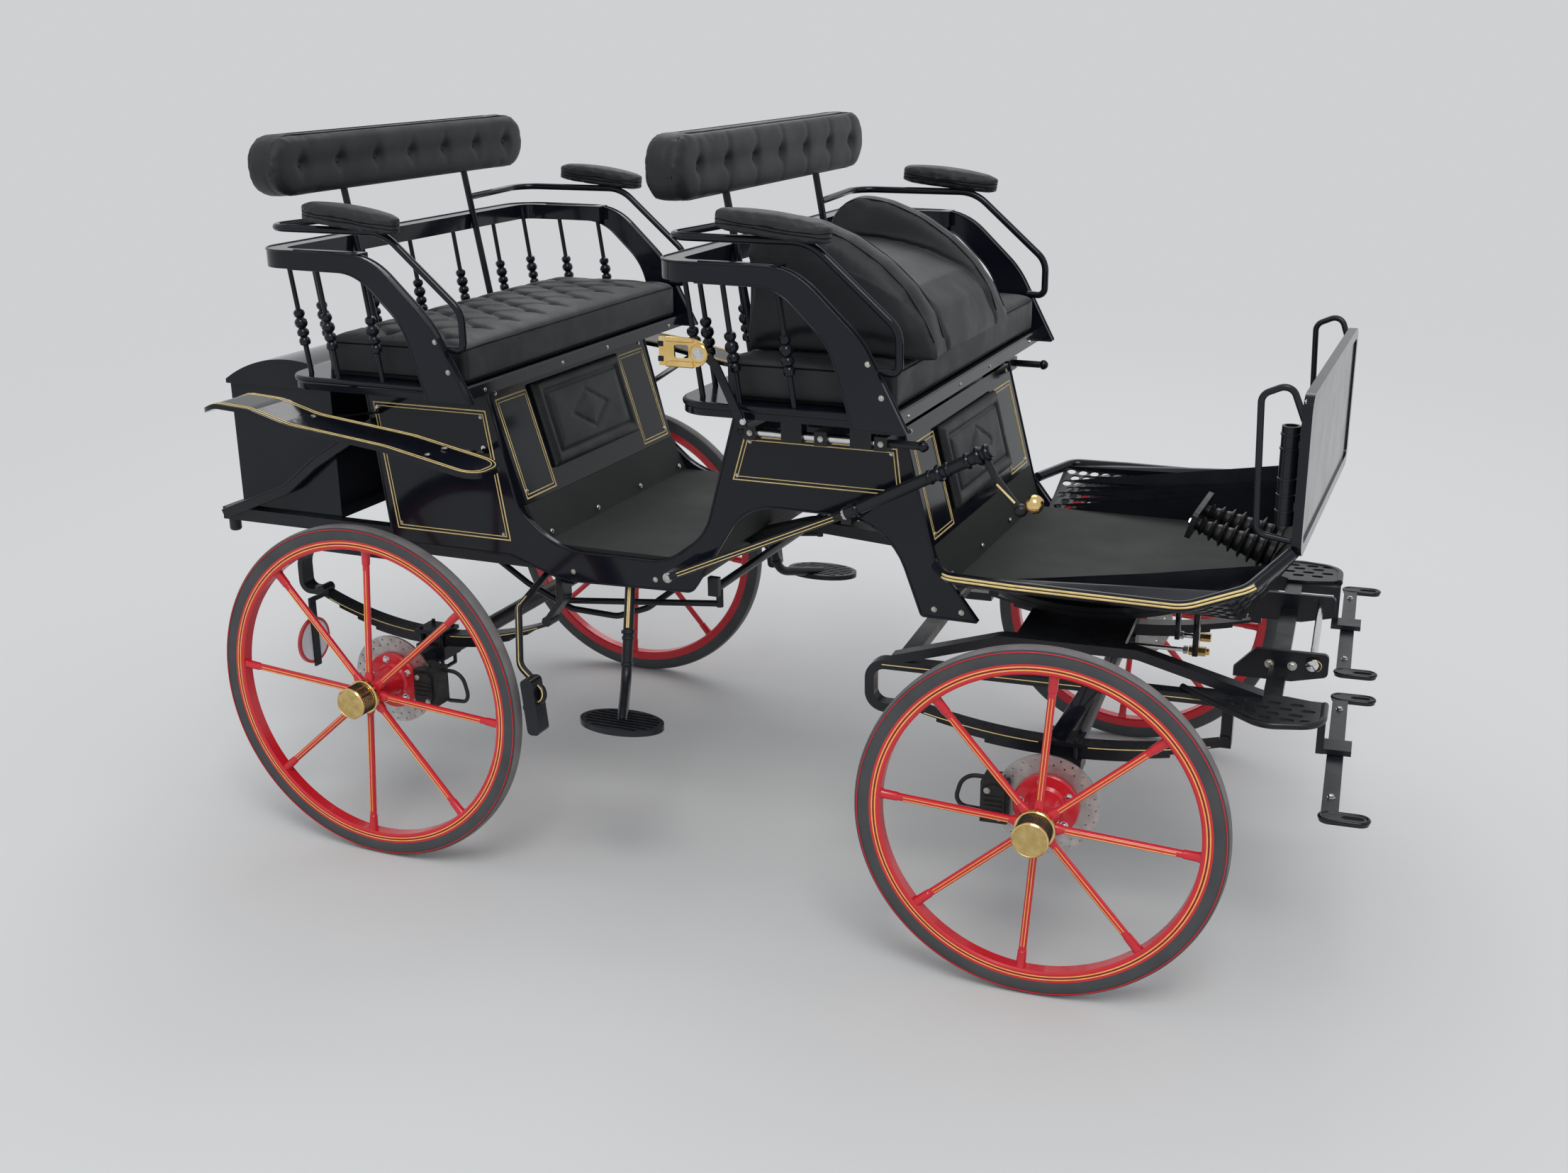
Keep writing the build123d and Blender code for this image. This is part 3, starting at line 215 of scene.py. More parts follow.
finishTable = {
    # colours near and far in the patches, patch size, roughness range, fine bump, and shader values
    "glossBlack": {"colour": (0.004, 0.005, 0.009), "other": (0.007, 0.008, 0.013), "patch": 4,
                   "rough": (0.1, 0.17), "bump": ("noise", 320, 0.015), "coat": 0.2, "specular": 0.22},
    "satinBlack": {"colour": (0.006, 0.007, 0.010), "other": (0.010, 0.011, 0.015), "patch": 6,
                   "rough": (0.24, 0.36), "bump": ("noise", 260, 0.03), "specular": 0.36, "dust": 0.03},
    "castBlack": {"colour": (0.008, 0.008, 0.009), "other": (0.017, 0.017, 0.017), "patch": 40,
                  "rough": (0.42, 0.58), "bump": ("noise", 900, 0.25), "specular": 0.4, "dust": 0.03},
    "wheelRed": {"colour": (0.55, 0.010, 0.020), "other": (0.60, 0.014, 0.026), "patch": 5,
                 "rough": (0.2, 0.3), "bump": ("noise", 300, 0.02), "coat": 0.25},
    "goldLine": {"colour": (0.70, 0.52, 0.20), "other": (0.80, 0.63, 0.29), "patch": 60,
                 "rough": (0.35, 0.5), "bump": ("noise", 500, 0.05)},
    "orangeLine": {"colour": (0.84, 0.36, 0.07), "other": (0.90, 0.46, 0.13), "patch": 60,
                   "rough": (0.35, 0.5), "bump": ("noise", 500, 0.05)},
    "matRubber": {"colour": (0.019, 0.021, 0.020), "other": (0.023, 0.025, 0.024), "patch": 2.5,
                  "rough": (0.62, 0.7), "bump": ("ribs", 90, 0.3), "specular": 0.3, "dust": 0.02},
    "softRubber": {"colour": (0.008, 0.008, 0.009), "other": (0.014, 0.014, 0.015), "patch": 18,
                   "rough": (0.3, 0.42), "bump": ("noise", 420, 0.06), "specular": 0.4},
    "leather": {"colour": (0.011, 0.013, 0.014), "other": (0.017, 0.019, 0.020), "patch": 6,
                "rough": (0.38, 0.5), "bump": ("grain", 620, 0.22), "sheen": 0.05, "specular": 0.36},
    # piping: far darker than the leather, partly the thread's own darker colour and partly painted shade along the
    # seam lines
    "piping": {"colour": (0.0012, 0.0013, 0.0015), "other": (0.002, 0.0022, 0.0025), "patch": 40,
               "rough": (0.5, 0.6), "bump": ("noise", 900, 0.15), "specular": 0.12},
    "brass": {"colour": (0.80, 0.54, 0.19), "other": (0.90, 0.66, 0.30), "patch": 26,
              "rough": (0.12, 0.26), "bump": ("noise", 700, 0.04), "metal": 1.0},
    "dullBrass": {"colour": (0.56, 0.41, 0.15), "other": (0.70, 0.53, 0.23), "patch": 60,
                  "rough": (0.35, 0.55), "bump": ("noise", 900, 0.15), "metal": 1.0},
    "chrome": {"colour": (0.66, 0.67, 0.68), "other": (0.76, 0.76, 0.76), "patch": 30,
               "rough": (0.08, 0.2), "bump": ("noise", 600, 0.03), "metal": 1.0},
    "discSteel": {"colour": (0.42, 0.41, 0.40), "other": (0.56, 0.55, 0.53), "patch": 40,
                  "rough": (0.28, 0.45), "bump": ("noise", 1100, 0.12), "metal": 1.0},
    "zinc": {"colour": (0.50, 0.50, 0.46), "other": (0.64, 0.62, 0.56), "patch": 50,
             "rough": (0.25, 0.4), "bump": ("noise", 800, 0.08), "metal": 1.0},
    "reflectorWhite": {"colour": (0.74, 0.75, 0.78), "other": (0.82, 0.83, 0.86), "patch": 12,
                       "rough": (0.15, 0.25), "bump": ("grain", 300, 0.06), "coat": 0.4},
    "tyre": {"colour": (0.046, 0.049, 0.052), "other": (0.058, 0.061, 0.064), "patch": 10,
             "rough": (0.6, 0.75), "bump": ("noise", 480, 0.12), "dust": 0.08},
    "tyreTread": {"colour": (0.135, 0.122, 0.125), "other": (0.19, 0.172, 0.170), "patch": 14,
                  "rough": (0.7, 0.85), "bump": ("noise", 420, 0.2)},
    "reflectorRed": {"colour": (0.5, 0.02, 0.02), "other": (0.6, 0.03, 0.03), "patch": 12,
                     "rough": (0.15, 0.25), "bump": ("grain", 300, 0.06), "coat": 0.4},
}
dustColour = (0.36, 0.33, 0.29)
finishes = {}


def makeFinish(name, spec):
    mat = bpy.data.materials.new(name)
    mat.use_nodes = True
    tree = mat.node_tree
    nodes, links = tree.nodes, tree.links
    shader = nodes["Principled BSDF"]
    shader.inputs["Metallic"].default_value = spec.get("metal", 0)
    shader.inputs["Coat Weight"].default_value = spec.get("coat", 0)
    shader.inputs["Coat Roughness"].default_value = 0.06
    shader.inputs["Specular IOR Level"].default_value = spec.get("specular", 0.5)
    if spec.get("sheen"):
        shader.inputs["Sheen Weight"].default_value = spec["sheen"]
        shader.inputs["Sheen Roughness"].default_value = 0.4
    coords = nodes.new("ShaderNodeTexCoord")

    def noise(scale, detail):
        texture = nodes.new("ShaderNodeTexNoise")
        texture.inputs["Scale"].default_value = scale
        texture.inputs["Detail"].default_value = detail
        links.new(coords.outputs["Object"], texture.inputs["Vector"])
        return texture

    def spread(source, low, high, fromLow=0.35, fromHigh=0.65):
        node = nodes.new("ShaderNodeMapRange")
        node.inputs["From Min"].default_value = fromLow
        node.inputs["From Max"].default_value = fromHigh
        node.inputs["To Min"].default_value = low
        node.inputs["To Max"].default_value = high
        links.new(source, node.inputs["Value"])
        return node.outputs["Result"]

    def mixColour(share, first, second):
        node = nodes.new("ShaderNodeMix")
        node.data_type = "RGBA"
        for socket, value in (("A", first), ("B", second)):
            target = [s for s in node.inputs if s.name == socket and s.type == "RGBA"][0]
            if isinstance(value, tuple):
                target.default_value = (*value, 1)
            else:
                links.new(value, target)
        links.new(share, node.inputs["Factor"])
        return [s for s in node.outputs if s.type == "RGBA"][0]

    patches = noise(spec["patch"], 6)
    colour = mixColour(spread(patches.outputs["Fac"], 0, 1), spec["colour"], spec["other"])
    if spec.get("dust"):  # settled on what faces up, in patches
        geometry = nodes.new("ShaderNodeNewGeometry")
        split = nodes.new("ShaderNodeSeparateXYZ")
        links.new(geometry.outputs["Normal"], split.inputs[0])
        upward = spread(split.outputs["Z"], 0, spec["dust"], 0.3, 1)
        speckle = spread(noise(spec["patch"] * 5, 8).outputs["Fac"], 0.2, 1)
        colour = mixColour(joined(tree, "MULTIPLY", upward, speckle), colour, dustColour)
    links.new(colour, shader.inputs["Base Color"])
    smear = noise(spec["patch"] * 2.3, 5)
    links.new(spread(smear.outputs["Fac"], *spec["rough"]), shader.inputs["Roughness"])

    kind, scale, strength = spec["bump"]
    bump = nodes.new("ShaderNodeBump")
    bump.inputs["Strength"].default_value = strength
    bump.inputs["Distance"].default_value = 0.002
    if kind == "noise":
        links.new(noise(scale, 4).outputs["Fac"], bump.inputs["Height"])
    elif kind == "grain":
        cells = nodes.new("ShaderNodeTexVoronoi")
        cells.feature = "DISTANCE_TO_EDGE"
        cells.inputs["Scale"].default_value = scale
        links.new(coords.outputs["Object"], cells.inputs["Vector"])
        links.new(spread(cells.outputs["Distance"], 0, 1, 0, 0.25), bump.inputs["Height"])
    else:
        ribs = nodes.new("ShaderNodeTexWave")
        ribs.wave_type = "BANDS"
        ribs.bands_direction = "Y"
        ribs.inputs["Scale"].default_value = scale
        ribs.inputs["Distortion"].default_value = 0.3
        links.new(coords.outputs["Object"], ribs.inputs["Vector"])
        links.new(ribs.outputs["Fac"], bump.inputs["Height"])
    links.new(bump.outputs["Normal"], shader.inputs["Normal"])
    finishes[name] = mat


for finishName, finishSpec in finishTable.items():
    makeFinish(finishName, finishSpec)


# Finish of each CAD node that keeps its own shape
cadFinish = {
    "glossBlack": ["side_panels", "rear_seat_box", "front_seat_box", "boot", "boot_lid", "dashboard",
                   "seat_boards", "seat_galleries", "wings", "seat_rods", "edge_rails",
                   "wing_stays"],
    "satinBlack": ["body_frame", "grab_loops", "whip_socket", "seat_slides", "side_steps",
                   "hand_brake", "brake_gear", "rear_axle", "rear_springs", "rear_hangers", "front_axle",
                   "front_springs", "fore_frame", "pole_brackets", "front_steps", "swingletree_right",
                   "swingletree_left", "side_skirts", "reflectors"],
    "castBlack": ["rear_calipers", "front_calipers"],
    "matRubber": ["foot_well", "platform_floor", "kick_boards"],
    "softRubber": ["rear_buffers", "brake_pedals"],
    "chrome": ["pole_pin"],
}
for finishName, nodeNames in cadFinish.items():
    for nodeName in nodeNames:
        node = cadNodes[nodeName]
        if not node.material_slots:
            node.data.materials.append(finishes[finishName])
        for held in node.material_slots:
            held.material = finishes[finishName]
print("finishes made")


# Making of pieces


def makePiece(bm, name, body, finishNames, crease=35, place=None):
    # The finished object of a bmesh, riding on its body
    bmesh.ops.remove_doubles(bm, verts=bm.verts, dist=0.00001)
    bmesh.ops.recalc_face_normals(bm, faces=bm.faces)
    if place is not None:
        bmesh.ops.transform(bm, matrix=place, verts=bm.verts)
    mesh = bpy.data.meshes.new(name)
    bm.to_mesh(mesh)
    bm.free()
    for finishName in finishNames:
        mesh.materials.append(finishes[finishName])
    mesh.shade_smooth()
    mesh.set_sharp_from_angle(angle=math.radians(crease))
    piece = bpy.data.objects.new(name, mesh)
    bpy.context.scene.collection.objects.link(piece)
    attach(piece, body)
    return piece


def addTube(bm, points, radius, closed=False, sides=8, squeeze=None, index=0):
    # A tube along points, in metres, which squeeze flattens along a direction, about the first point
    data = bpy.data.curves.new("route", "CURVE")
    data.dimensions = "3D"
    data.bevel_depth = radius
    data.bevel_resolution = max(0, sides // 2 - 2)
    data.use_fill_caps = not closed
    line = data.splines.new("POLY")
    line.points.add(len(points) - 1)
    for point, target in zip(points, line.points):
        target.co = (*point, 1)
    line.use_cyclic_u = closed
    holder = bpy.data.objects.new("route", data)
    mesh = bpy.data.meshes.new_from_object(holder)
    if squeeze is not None:
        direction, share = squeeze
        base = Vector(points[0])
        mesh.transform(Matrix.Translation(base) @ Matrix.Scale(share, 4, direction)
                       @ Matrix.Translation(-base))
    for polygon in mesh.polygons:
        polygon.material_index = index
    bm.from_mesh(mesh)
    bpy.data.objects.remove(holder)
    bpy.data.meshes.remove(mesh)
    bpy.data.curves.remove(data)


def addTurned(bm, profile, steps, place=None, index=0, closedRing=False):
    # A profile of rows of height and radius, spun about Z
    verts = [bm.verts.new((radius, 0, height)) for height, radius in profile]
    edges = [bm.edges.new(pair) for pair in zip(verts, verts[1:])]
    if closedRing:
        edges.append(bm.edges.new((verts[-1], verts[0])))
    known = set(bm.faces)
    bmesh.ops.spin(bm, geom=verts + edges, cent=(0, 0, 0), axis=(0, 0, 1), angle=2 * math.pi, steps=steps,
                   use_merge=True)
    made = [face for face in bm.faces if face not in known]
    for face in made:
        face.material_index = index
    around = list({v for face in made for v in face.verts})
    bmesh.ops.remove_doubles(bm, verts=around, dist=0.000005)
    around = [v for v in around if v.is_valid]
    if place is not None:
        bmesh.ops.transform(bm, matrix=place, verts=around)
    return made


def addBlock(bm, low, high, bevel, place=None, segments=2):
    # A box between two corners in metres, with rounded edges
    low, high = Vector(low), Vector(high)
    size = high - low
    made = bmesh.ops.create_cube(bm, size=1, matrix=Matrix.Translation((low + high) / 2)
                                 @ Matrix.Diagonal((*size, 1)))["verts"]
    edges = list({e for v in made for e in v.link_edges})
    done = bmesh.ops.bevel(bm, geom=edges, offset=bevel, offset_type="OFFSET", segments=segments, profile=0.5,
                           affect="EDGES", material=-1)
    if place is not None:
        verts = list({v for f in done["faces"] for v in f.verts} | {v for v in made if v.is_valid})
        bmesh.ops.transform(bm, matrix=place, verts=verts)


def directed(start, run):
    return Matrix.Translation(start) @ run.to_track_quat("Z", "Y").to_matrix().to_4x4()


def addBolt(bm, spot, normal, radius, height):
    # A six-sided bolt head with a washer, standing on a surface
    place = directed(spot, Vector(normal))
    washer = [(-0.001, radius * 1.35), (height * 0.2, radius * 1.35), (height * 0.2, 0.0)]
    addTurned(bm, washer, 12, place)
    head = [(0, radius), (height * 0.85, radius), (height, radius * 0.8), (height, 0.0)]
    addTurned(bm, head, 6, place)


def flatShape(outline, holes, thickness):
    # A pierced flat plate in XY from an outline and the rings of its holes, as a mesh
    data = bpy.data.curves.new("plate", "CURVE")
    data.dimensions = "2D"
    data.fill_mode = "BOTH"
    data.extrude = thickness / 2
    for ring in [outline, *holes]:
        line = data.splines.new("POLY")
        line.points.add(len(ring) - 1)
        for point, target in zip(ring, line.points):
            target.co = (point[0], point[1], 0, 1)
        line.use_cyclic_u = True
    holder = bpy.data.objects.new("plate", data)
    mesh = bpy.data.meshes.new_from_object(holder)
    bpy.data.objects.remove(holder)
    bpy.data.curves.remove(data)
    return mesh


def circle(x, y, radius, sides):
    return [(x + radius * math.cos(a), y + radius * math.sin(a))
            for a in (2 * math.pi * i / sides for i in range(sides))]


def quarter(axis, turns=1):
    return Matrix.Rotation(math.radians(90 * turns), 4, axis)


# Wheels

wheelSpec = {
    "radius": {"rear": 0.435, "front": 0.400},
    "axleY": {"rear": 0.712, "front": 0.740},
    "tyreHeight": 0.035,
    "halfTyre": 0.019,
    "halfRim": 0.017,
    "rimDepth": 0.024,
    "spokes": 8,
    "spokeLean": 4.0,
    "spokeRadius": 0.0085,
    "steps": 144,
    "hub": [(-0.104, 0.024), (-0.104, 0.070), (-0.102, 0.072), (-0.094, 0.072), (-0.092, 0.070),
            (-0.092, 0.047), (-0.086, 0.041), (-0.030, 0.038), (0.016, 0.038), (0.020, 0.040), (0.026, 0.040),
            (0.026, 0.0)],
    "flangeBolts": 5,
    "flangeBoltRing": 0.057,
    "flangeFace": -0.092,
    # radius, start and length of the hub cap's knurled wall, knurls round it and along it, width and depth of a gap
    "capRadius": 0.0385,
    "capWall": (0.032, 0.042),
    "capKnurls": (40, 7),
    "knurlGap": (0.0006, 0.0012),
    # distance inside the rim, radius and finish of each painted line
    "rimLines": ((0.0065, 0.0014, 0), (0.0135, 0.0014, 0), (0.0100, 0.0009, 1)),
    "spokeLines": (0.0032, 0.0011),
    "tyreLine": (0.0085, 0.0013),
    # the brake disc, with two rings of small holes
    "disc": {"radius": 0.115, "bore": 0.045, "thickness": 0.005, "place": -0.1065, "holes": 24, "hole": 0.0028,
             "rings": (0.1065, 0.093)},
}


def wheelPlace(end, side):
    # The wheel's own space has Z out along the axle, Y up and X along the carriage
    spec = wheelSpec
    basis = Matrix(((-side, 0, 0, 0), (0, 0, side, 0), (0, 1, 0, 0), (0, 0, 0, 1)))
    centre = Matrix.Translation((0, side * spec["axleY"][end], spec["radius"][end]))
    return (foreFrame if end == "front" else bodyFrame) @ centre @ basis


def makeWheel(end, sideName, side):
    spec = wheelSpec
    corner = f"{end}_{sideName}"
    body = f"wheel_{corner}"
    place = wheelPlace(end, side)
    outer = spec["radius"][end]
    rim = outer - spec["tyreHeight"]
    inner = rim - spec["rimDepth"]
    half = spec["halfRim"]

    bm = bmesh.new()
    addTurned(bm, [(-half, rim), (-half, inner + 0.004), (-half + 0.003, inner), (half - 0.003, inner),
                   (half, inner + 0.004), (half, rim), (half - 0.004, rim + 0.003), (-half + 0.004, rim + 0.003)],
              spec["steps"], closedRing=True)
    addTurned(bm, spec["hub"], 48)
    for i in range(spec["spokes"]):
        turn = math.radians(spec["spokeLean"] + i * 360 / spec["spokes"])
        along = Matrix.Rotation(side * turn, 4, "Z") @ quarter("X", -1)
        reach = inner + 0.004
        r = spec["spokeRadius"]
        addTurned(bm, [(0.02, 0.0), (0.02, 0.0135), (0.05, 0.0115), (0.056, r), (reach - 0.042, r),
                       (reach - 0.040, r + 0.0015), (reach - 0.010, r + 0.0022), (reach - 0.004, r + 0.004),
                       (reach, r + 0.005), (reach, 0.0)], 16, along)
    wheel = makePiece(bm, f"wheelBody_{corner}", body, ["wheelRed"], 30, place)
    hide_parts(f"wheel_{corner}")

    bm = bmesh.new()
    half = spec["halfTyre"]
    wall = [(-half + 0.002, rim), (-half, rim + 0.006), (-half, outer - 0.011), (-half + 0.003, outer - 0.004),
            (-half + 0.008, outer - 0.001), (0, outer), (half - 0.008, outer - 0.001), (half - 0.003, outer - 0.004),
            (half, outer - 0.011), (half, rim + 0.006), (half - 0.002, rim)]
    for part in addTurned(bm, wall, spec["steps"], closedRing=True):
        if min(math.hypot(v.co.x, v.co.y) for v in part.verts) > outer - 0.0045:
            part.material_index = 1  # the dusty tread
    tyre = makePiece(bm, f"tyreBody_{corner}", body, ["tyre", "tyreTread"], 30, place)
    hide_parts(f"tyre_{corner}")

    bm = bmesh.new()
    around = [2 * math.pi * i / spec["steps"] for i in range(spec["steps"])]
    face = spec["halfRim"] + 0.0001
    flat = (Vector((0, 0, 1)), 0.3)
    for inset, thick, index in spec["rimLines"]:
        ring = [Vector(((rim - inset) * math.cos(a), (rim - inset) * math.sin(a), face)) for a in around]
        addTube(bm, ring, thick, closed=True, squeeze=flat, index=index)
    offset, thick = spec["spokeLines"]
    for i in range(spec["spokes"]):
        turn = math.radians(90 + spec["spokeLean"] * side + i * 360 / spec["spokes"])
        along = Vector((math.cos(turn), math.sin(turn), 0))
        across = Vector((-along.y, along.x, 0))
        for shift in (-offset, offset):
            lift = math.sqrt(spec["spokeRadius"] ** 2 - shift ** 2)
            start = along * 0.06 + across * shift + Vector((0, 0, lift))
            tip = along * (inner - 0.05) + across * shift + Vector((0, 0, lift))
            addTube(bm, [start, tip], thick, sides=6)
    makePiece(bm, f"wheelLines_{corner}", body, ["orangeLine", "castBlack"], 60, place)

    bm = bmesh.new()
    inset, thick = spec["tyreLine"]
    ring = [Vector(((outer - inset) * math.cos(a), (outer - inset) * math.sin(a), half + 0.0002)) for a in around]
    addTube(bm, ring, thick, closed=True, sides=6)
    makePiece(bm, f"tyreLine_{corner}", body, ["wheelRed"], 60, place)

    bm = bmesh.new()
    count, rows = spec["capKnurls"]
    start, length = spec["capWall"]
    gap, depth = spec["knurlGap"]
    addTurned(bm, [(0.020, 0.041), (0.022, 0.0435), (0.030, 0.0435), (0.032, 0.041), (0.032, 0.0)], 64)
    wall = addTurned(bm, [(start + length * k / rows, spec["capRadius"]) for k in range(rows + 1)], count)
    gaps = bmesh.ops.inset_individual(bm, faces=wall, thickness=gap, depth=depth, use_even_offset=True)
    for face in gaps["faces"]:
        face.material_index = 2  # dark between the knurls
    addTurned(bm, [(0.073, 0.0385), (0.075, 0.0395), (0.079, 0.0395), (0.082, 0.0365)], 64)
    addTurned(bm, [(0.0822, 0.0366), (0.0810, 0.0355), (0.0810, 0.0)], 64, index=1)
    makePiece(bm, f"hubCap_{corner}", body, ["brass", "dullBrass", "castBlack"], 30, place)

    bm = bmesh.new()
    disc = spec["disc"]
    holes = []
    for i in range(disc["holes"]):
        for row, radius in enumerate(disc["rings"]):
            a = 2 * math.pi * i / disc["holes"] + row * math.pi / disc["holes"]
            holes.append(circle(radius * math.cos(a), radius * math.sin(a), disc["hole"], 8))
    plate = flatShape(circle(0, 0, disc["radius"], 96), [circle(0, 0, disc["bore"], 48), *holes], disc["thickness"])
    plate.transform(Matrix.Translation((0, 0, disc["place"])))
    bm.from_mesh(plate)
    discPiece = makePiece(bm, f"brakeDisc_{corner}", body, ["discSteel"], 40, place)
    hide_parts(f"disc_and_cap_{corner}")

    bm = bmesh.new()
    for i in range(spec["flangeBolts"]):
        a = 2 * math.pi * (i + 0.4) / spec["flangeBolts"]
        spot = Vector((spec["flangeBoltRing"] * math.cos(a), spec["flangeBoltRing"] * math.sin(a),
                       spec["flangeFace"]))
        addBolt(bm, spot, (0, 0, 1), 0.0075, 0.008)
    makePiece(bm, f"hubBolts_{corner}", body, ["chrome"], 30, place)


for endName in ("rear", "front"):
    for sideLabel, sideSign in (("right", -1), ("left", 1)):
        makeWheel(endName, sideLabel, sideSign)
print("wheels made")

# Upholstery: each piece is remeshed, swollen by a short cloth simulation, and then gets its seams and tufts

upholstery = {
    # sizes of the even mesh of the rear cushion and wedge, of the front cushion and of the back pads
    "voxel": 0.008,
    "bigVoxel": 0.010,
    "fineVoxel": 0.0075,
    "pressure": 4.0,
    "frames": 20,
    "bigCap": 0.009,
}
softPieces = []


def closedPiece(bm, name, voxel, cap, restZ=None):
    # A closed shape turned into an even mesh, waiting for its simulation
    bmesh.ops.recalc_face_normals(bm, faces=bm.faces)
    mesh = bpy.data.meshes.new(name)
    bm.to_mesh(mesh)
    bm.free()
    piece = bpy.data.objects.new(name, mesh)
    bpy.context.scene.collection.objects.link(piece)
    remesh = piece.modifiers.new("remesh", "REMESH")
    remesh.mode = "VOXEL"
    remesh.voxel_size = voxel
    bpy.context.view_layer.update()
    even = bpy.data.meshes.new_from_object(piece.evaluated_get(bpy.context.evaluated_depsgraph_get()))
    piece.modifiers.clear()
    piece.data = even
    softPieces.append({"piece": piece, "cap": cap, "restZ": restZ})
    return piece


def positions(mesh):
    spots = np.empty(len(mesh.vertices) * 3)
    mesh.vertices.foreach_get("co", spots)
    return spots.reshape(-1, 3)


def vertexNormals(mesh):
    normals = np.empty(len(mesh.vertices) * 3)
    mesh.vertex_normals.foreach_get("vector", normals)
    return normals.reshape(-1, 3)


def swellAll():
    scene = bpy.context.scene
    for row in softPieces:
        cloth = row["piece"].modifiers.new("cloth", "CLOTH")
        cloth.settings.use_pressure = True
        cloth.settings.uniform_pressure_force = upholstery["pressure"]
        cloth.settings.effector_weights.gravity = 0
        cloth.settings.quality = 4
        cloth.collision_settings.use_collision = False
        cloth.point_cache.frame_end = upholstery["frames"]
    for number in range(1, upholstery["frames"] + 1):
        scene.frame_set(number)
    for row in softPieces:
        piece = row["piece"]
        before = positions(piece.data)
        after = before
        done = piece.evaluated_get(bpy.context.evaluated_depsgraph_get()).to_mesh()
        after = positions(done)
        piece.modifiers.clear()
        move = after - before
        length = np.linalg.norm(move, axis=1, keepdims=True) + 1e-9
        after = before + move * np.minimum(1, row["cap"] / length)
        if row["restZ"] is not None:
            after[:, 2] = np.maximum(after[:, 2], row["restZ"])
        piece.data.vertices.foreach_set("co", after.ravel())
        piece.data.update()
    scene.frame_set(1)


def dress(piece, body, node, finishName, shape):
    # Seams and tufts come by moving points, then finish, smoothing and what the piece replaces
    mesh = piece.data
    spots = shape(positions(mesh), vertexNormals(mesh))
    mesh.vertices.foreach_set("co", spots.ravel())
    mesh.update()
    mesh.materials.clear()
    mesh.materials.append(finishes[finishName])
    mesh.shade_smooth()
    smooth = piece.modifiers.new("smooth", "SUBSURF")
    smooth.levels = 1
    smooth.render_levels = 1
    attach(piece, body)
    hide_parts(node)


def groove(distance, width):
    # How deep a seam is at a distance from its line, from 0 to 1
    return np.exp(-(distance / width) ** 2)


seatSteps = {"rear": (0, 0), "front": (1081, 18)}
# "rest" is the height that a piece stands on, and "cap" the most that the simulation may swell it, in metres
baseCushion = {"low": (-163, -558, 1198), "high": (247, 558, 1290), "round": 0.010, "rest": 1197}
crownSpec = {"halfWidth": 560, "middle": 40, "halfDepth": 205}  # where the swollen top falls to nothing
tuftRows = {"x": (-100, -15, 70, 155), "pitch": 124, "reach": 500, "depth": 0.015, "crease": 0.008,
            # widths of a button's hollow and of a crease, and where the tufts and the last creases end
            "buttonWidth": 17, "creaseWidth": 7, "back": -150, "front": 225, "side": 545, "fade": 30,
            "creaseEnds": (-150, 200)}
backPad = {"centre": (-300, 0, 1694), "halfLength": 571, "height": 152, "thickness": 76, "cap": 0.005,
           "buttons": 7, "buttonPitch": 155, "pleats": (48, 78), "seams": (29, 17, -29)}
armPad = {"centre": (-16, 603, 1587), "length": 268, "width": 78, "thickness": 34, "lean": 6, "cap": 0.004,
          "voxel": 0.005, "seams": (2, -7), "half": (134, 41)}
wedge = {
    "cap": 0.009,
    "rest": 1314,
    # how far its seat stops short of the bolsters' outer sides, and the y that it covers on the front cushion
    "seatInset": 20,
    "covers": (-500, 90),
    # x, z of the seat between the bolsters, and of the bolsters' crest
    "seat": [(945, 1318), (945, 1500), (985, 1518), (1060, 1512), (1134, 1504), (1214, 1484), (1300, 1448),
             (1360, 1400), (1392, 1346), (1396, 1318)],
    "crest": [(945, 1318), (945, 1545), (958, 1580), (985, 1603), (1030, 1612), (1105, 1600), (1185, 1568),
              (1260, 1520), (1320, 1464), (1365, 1404), (1390, 1346), (1396, 1318)],
    "y": (-485, -390, -15, 80),
}


def stadium(halfLength, halfWidth, steps=14):
    # A slot's outline in XY, long in X
    straight = halfLength - halfWidth
    ring = []
    for side in (1, -1):
        for i in range(steps + 1):
            a = -math.pi / 2 + math.pi * i / steps
            ring.append((side * (straight + halfWidth * math.cos(a)), side * halfWidth * math.sin(a)))
    return ring


def longOval(halfLength, halfWidth, steps=48, power=2.7):
    # An oval in XY with fuller corners than an ellipse
    ring = []
    for i in range(steps):
        a = 2 * math.pi * i / steps
        x, y = math.cos(a), math.sin(a)
        ring.append((halfLength * math.copysign(abs(x) ** (2 / power), x),
                     halfWidth * math.copysign(abs(y) ** (2 / power), y)))
    return ring


def sideProfile(rows, yLow, yHigh):
    # An upright slab whose side outline is given in millimetres from the rear axle
    bm = bmesh.new()
    face = bm.faces.new([bm.verts.new(at(x, yLow, z)) for x, z in rows])
    made = bmesh.ops.extrude_face_region(bm, geom=[face])["geom"]
    up = [v for v in made if isinstance(v, bmesh.types.BMVert)]
    bmesh.ops.translate(bm, vec=(0, (yHigh - yLow) / 1000, 0), verts=up)
    return bm


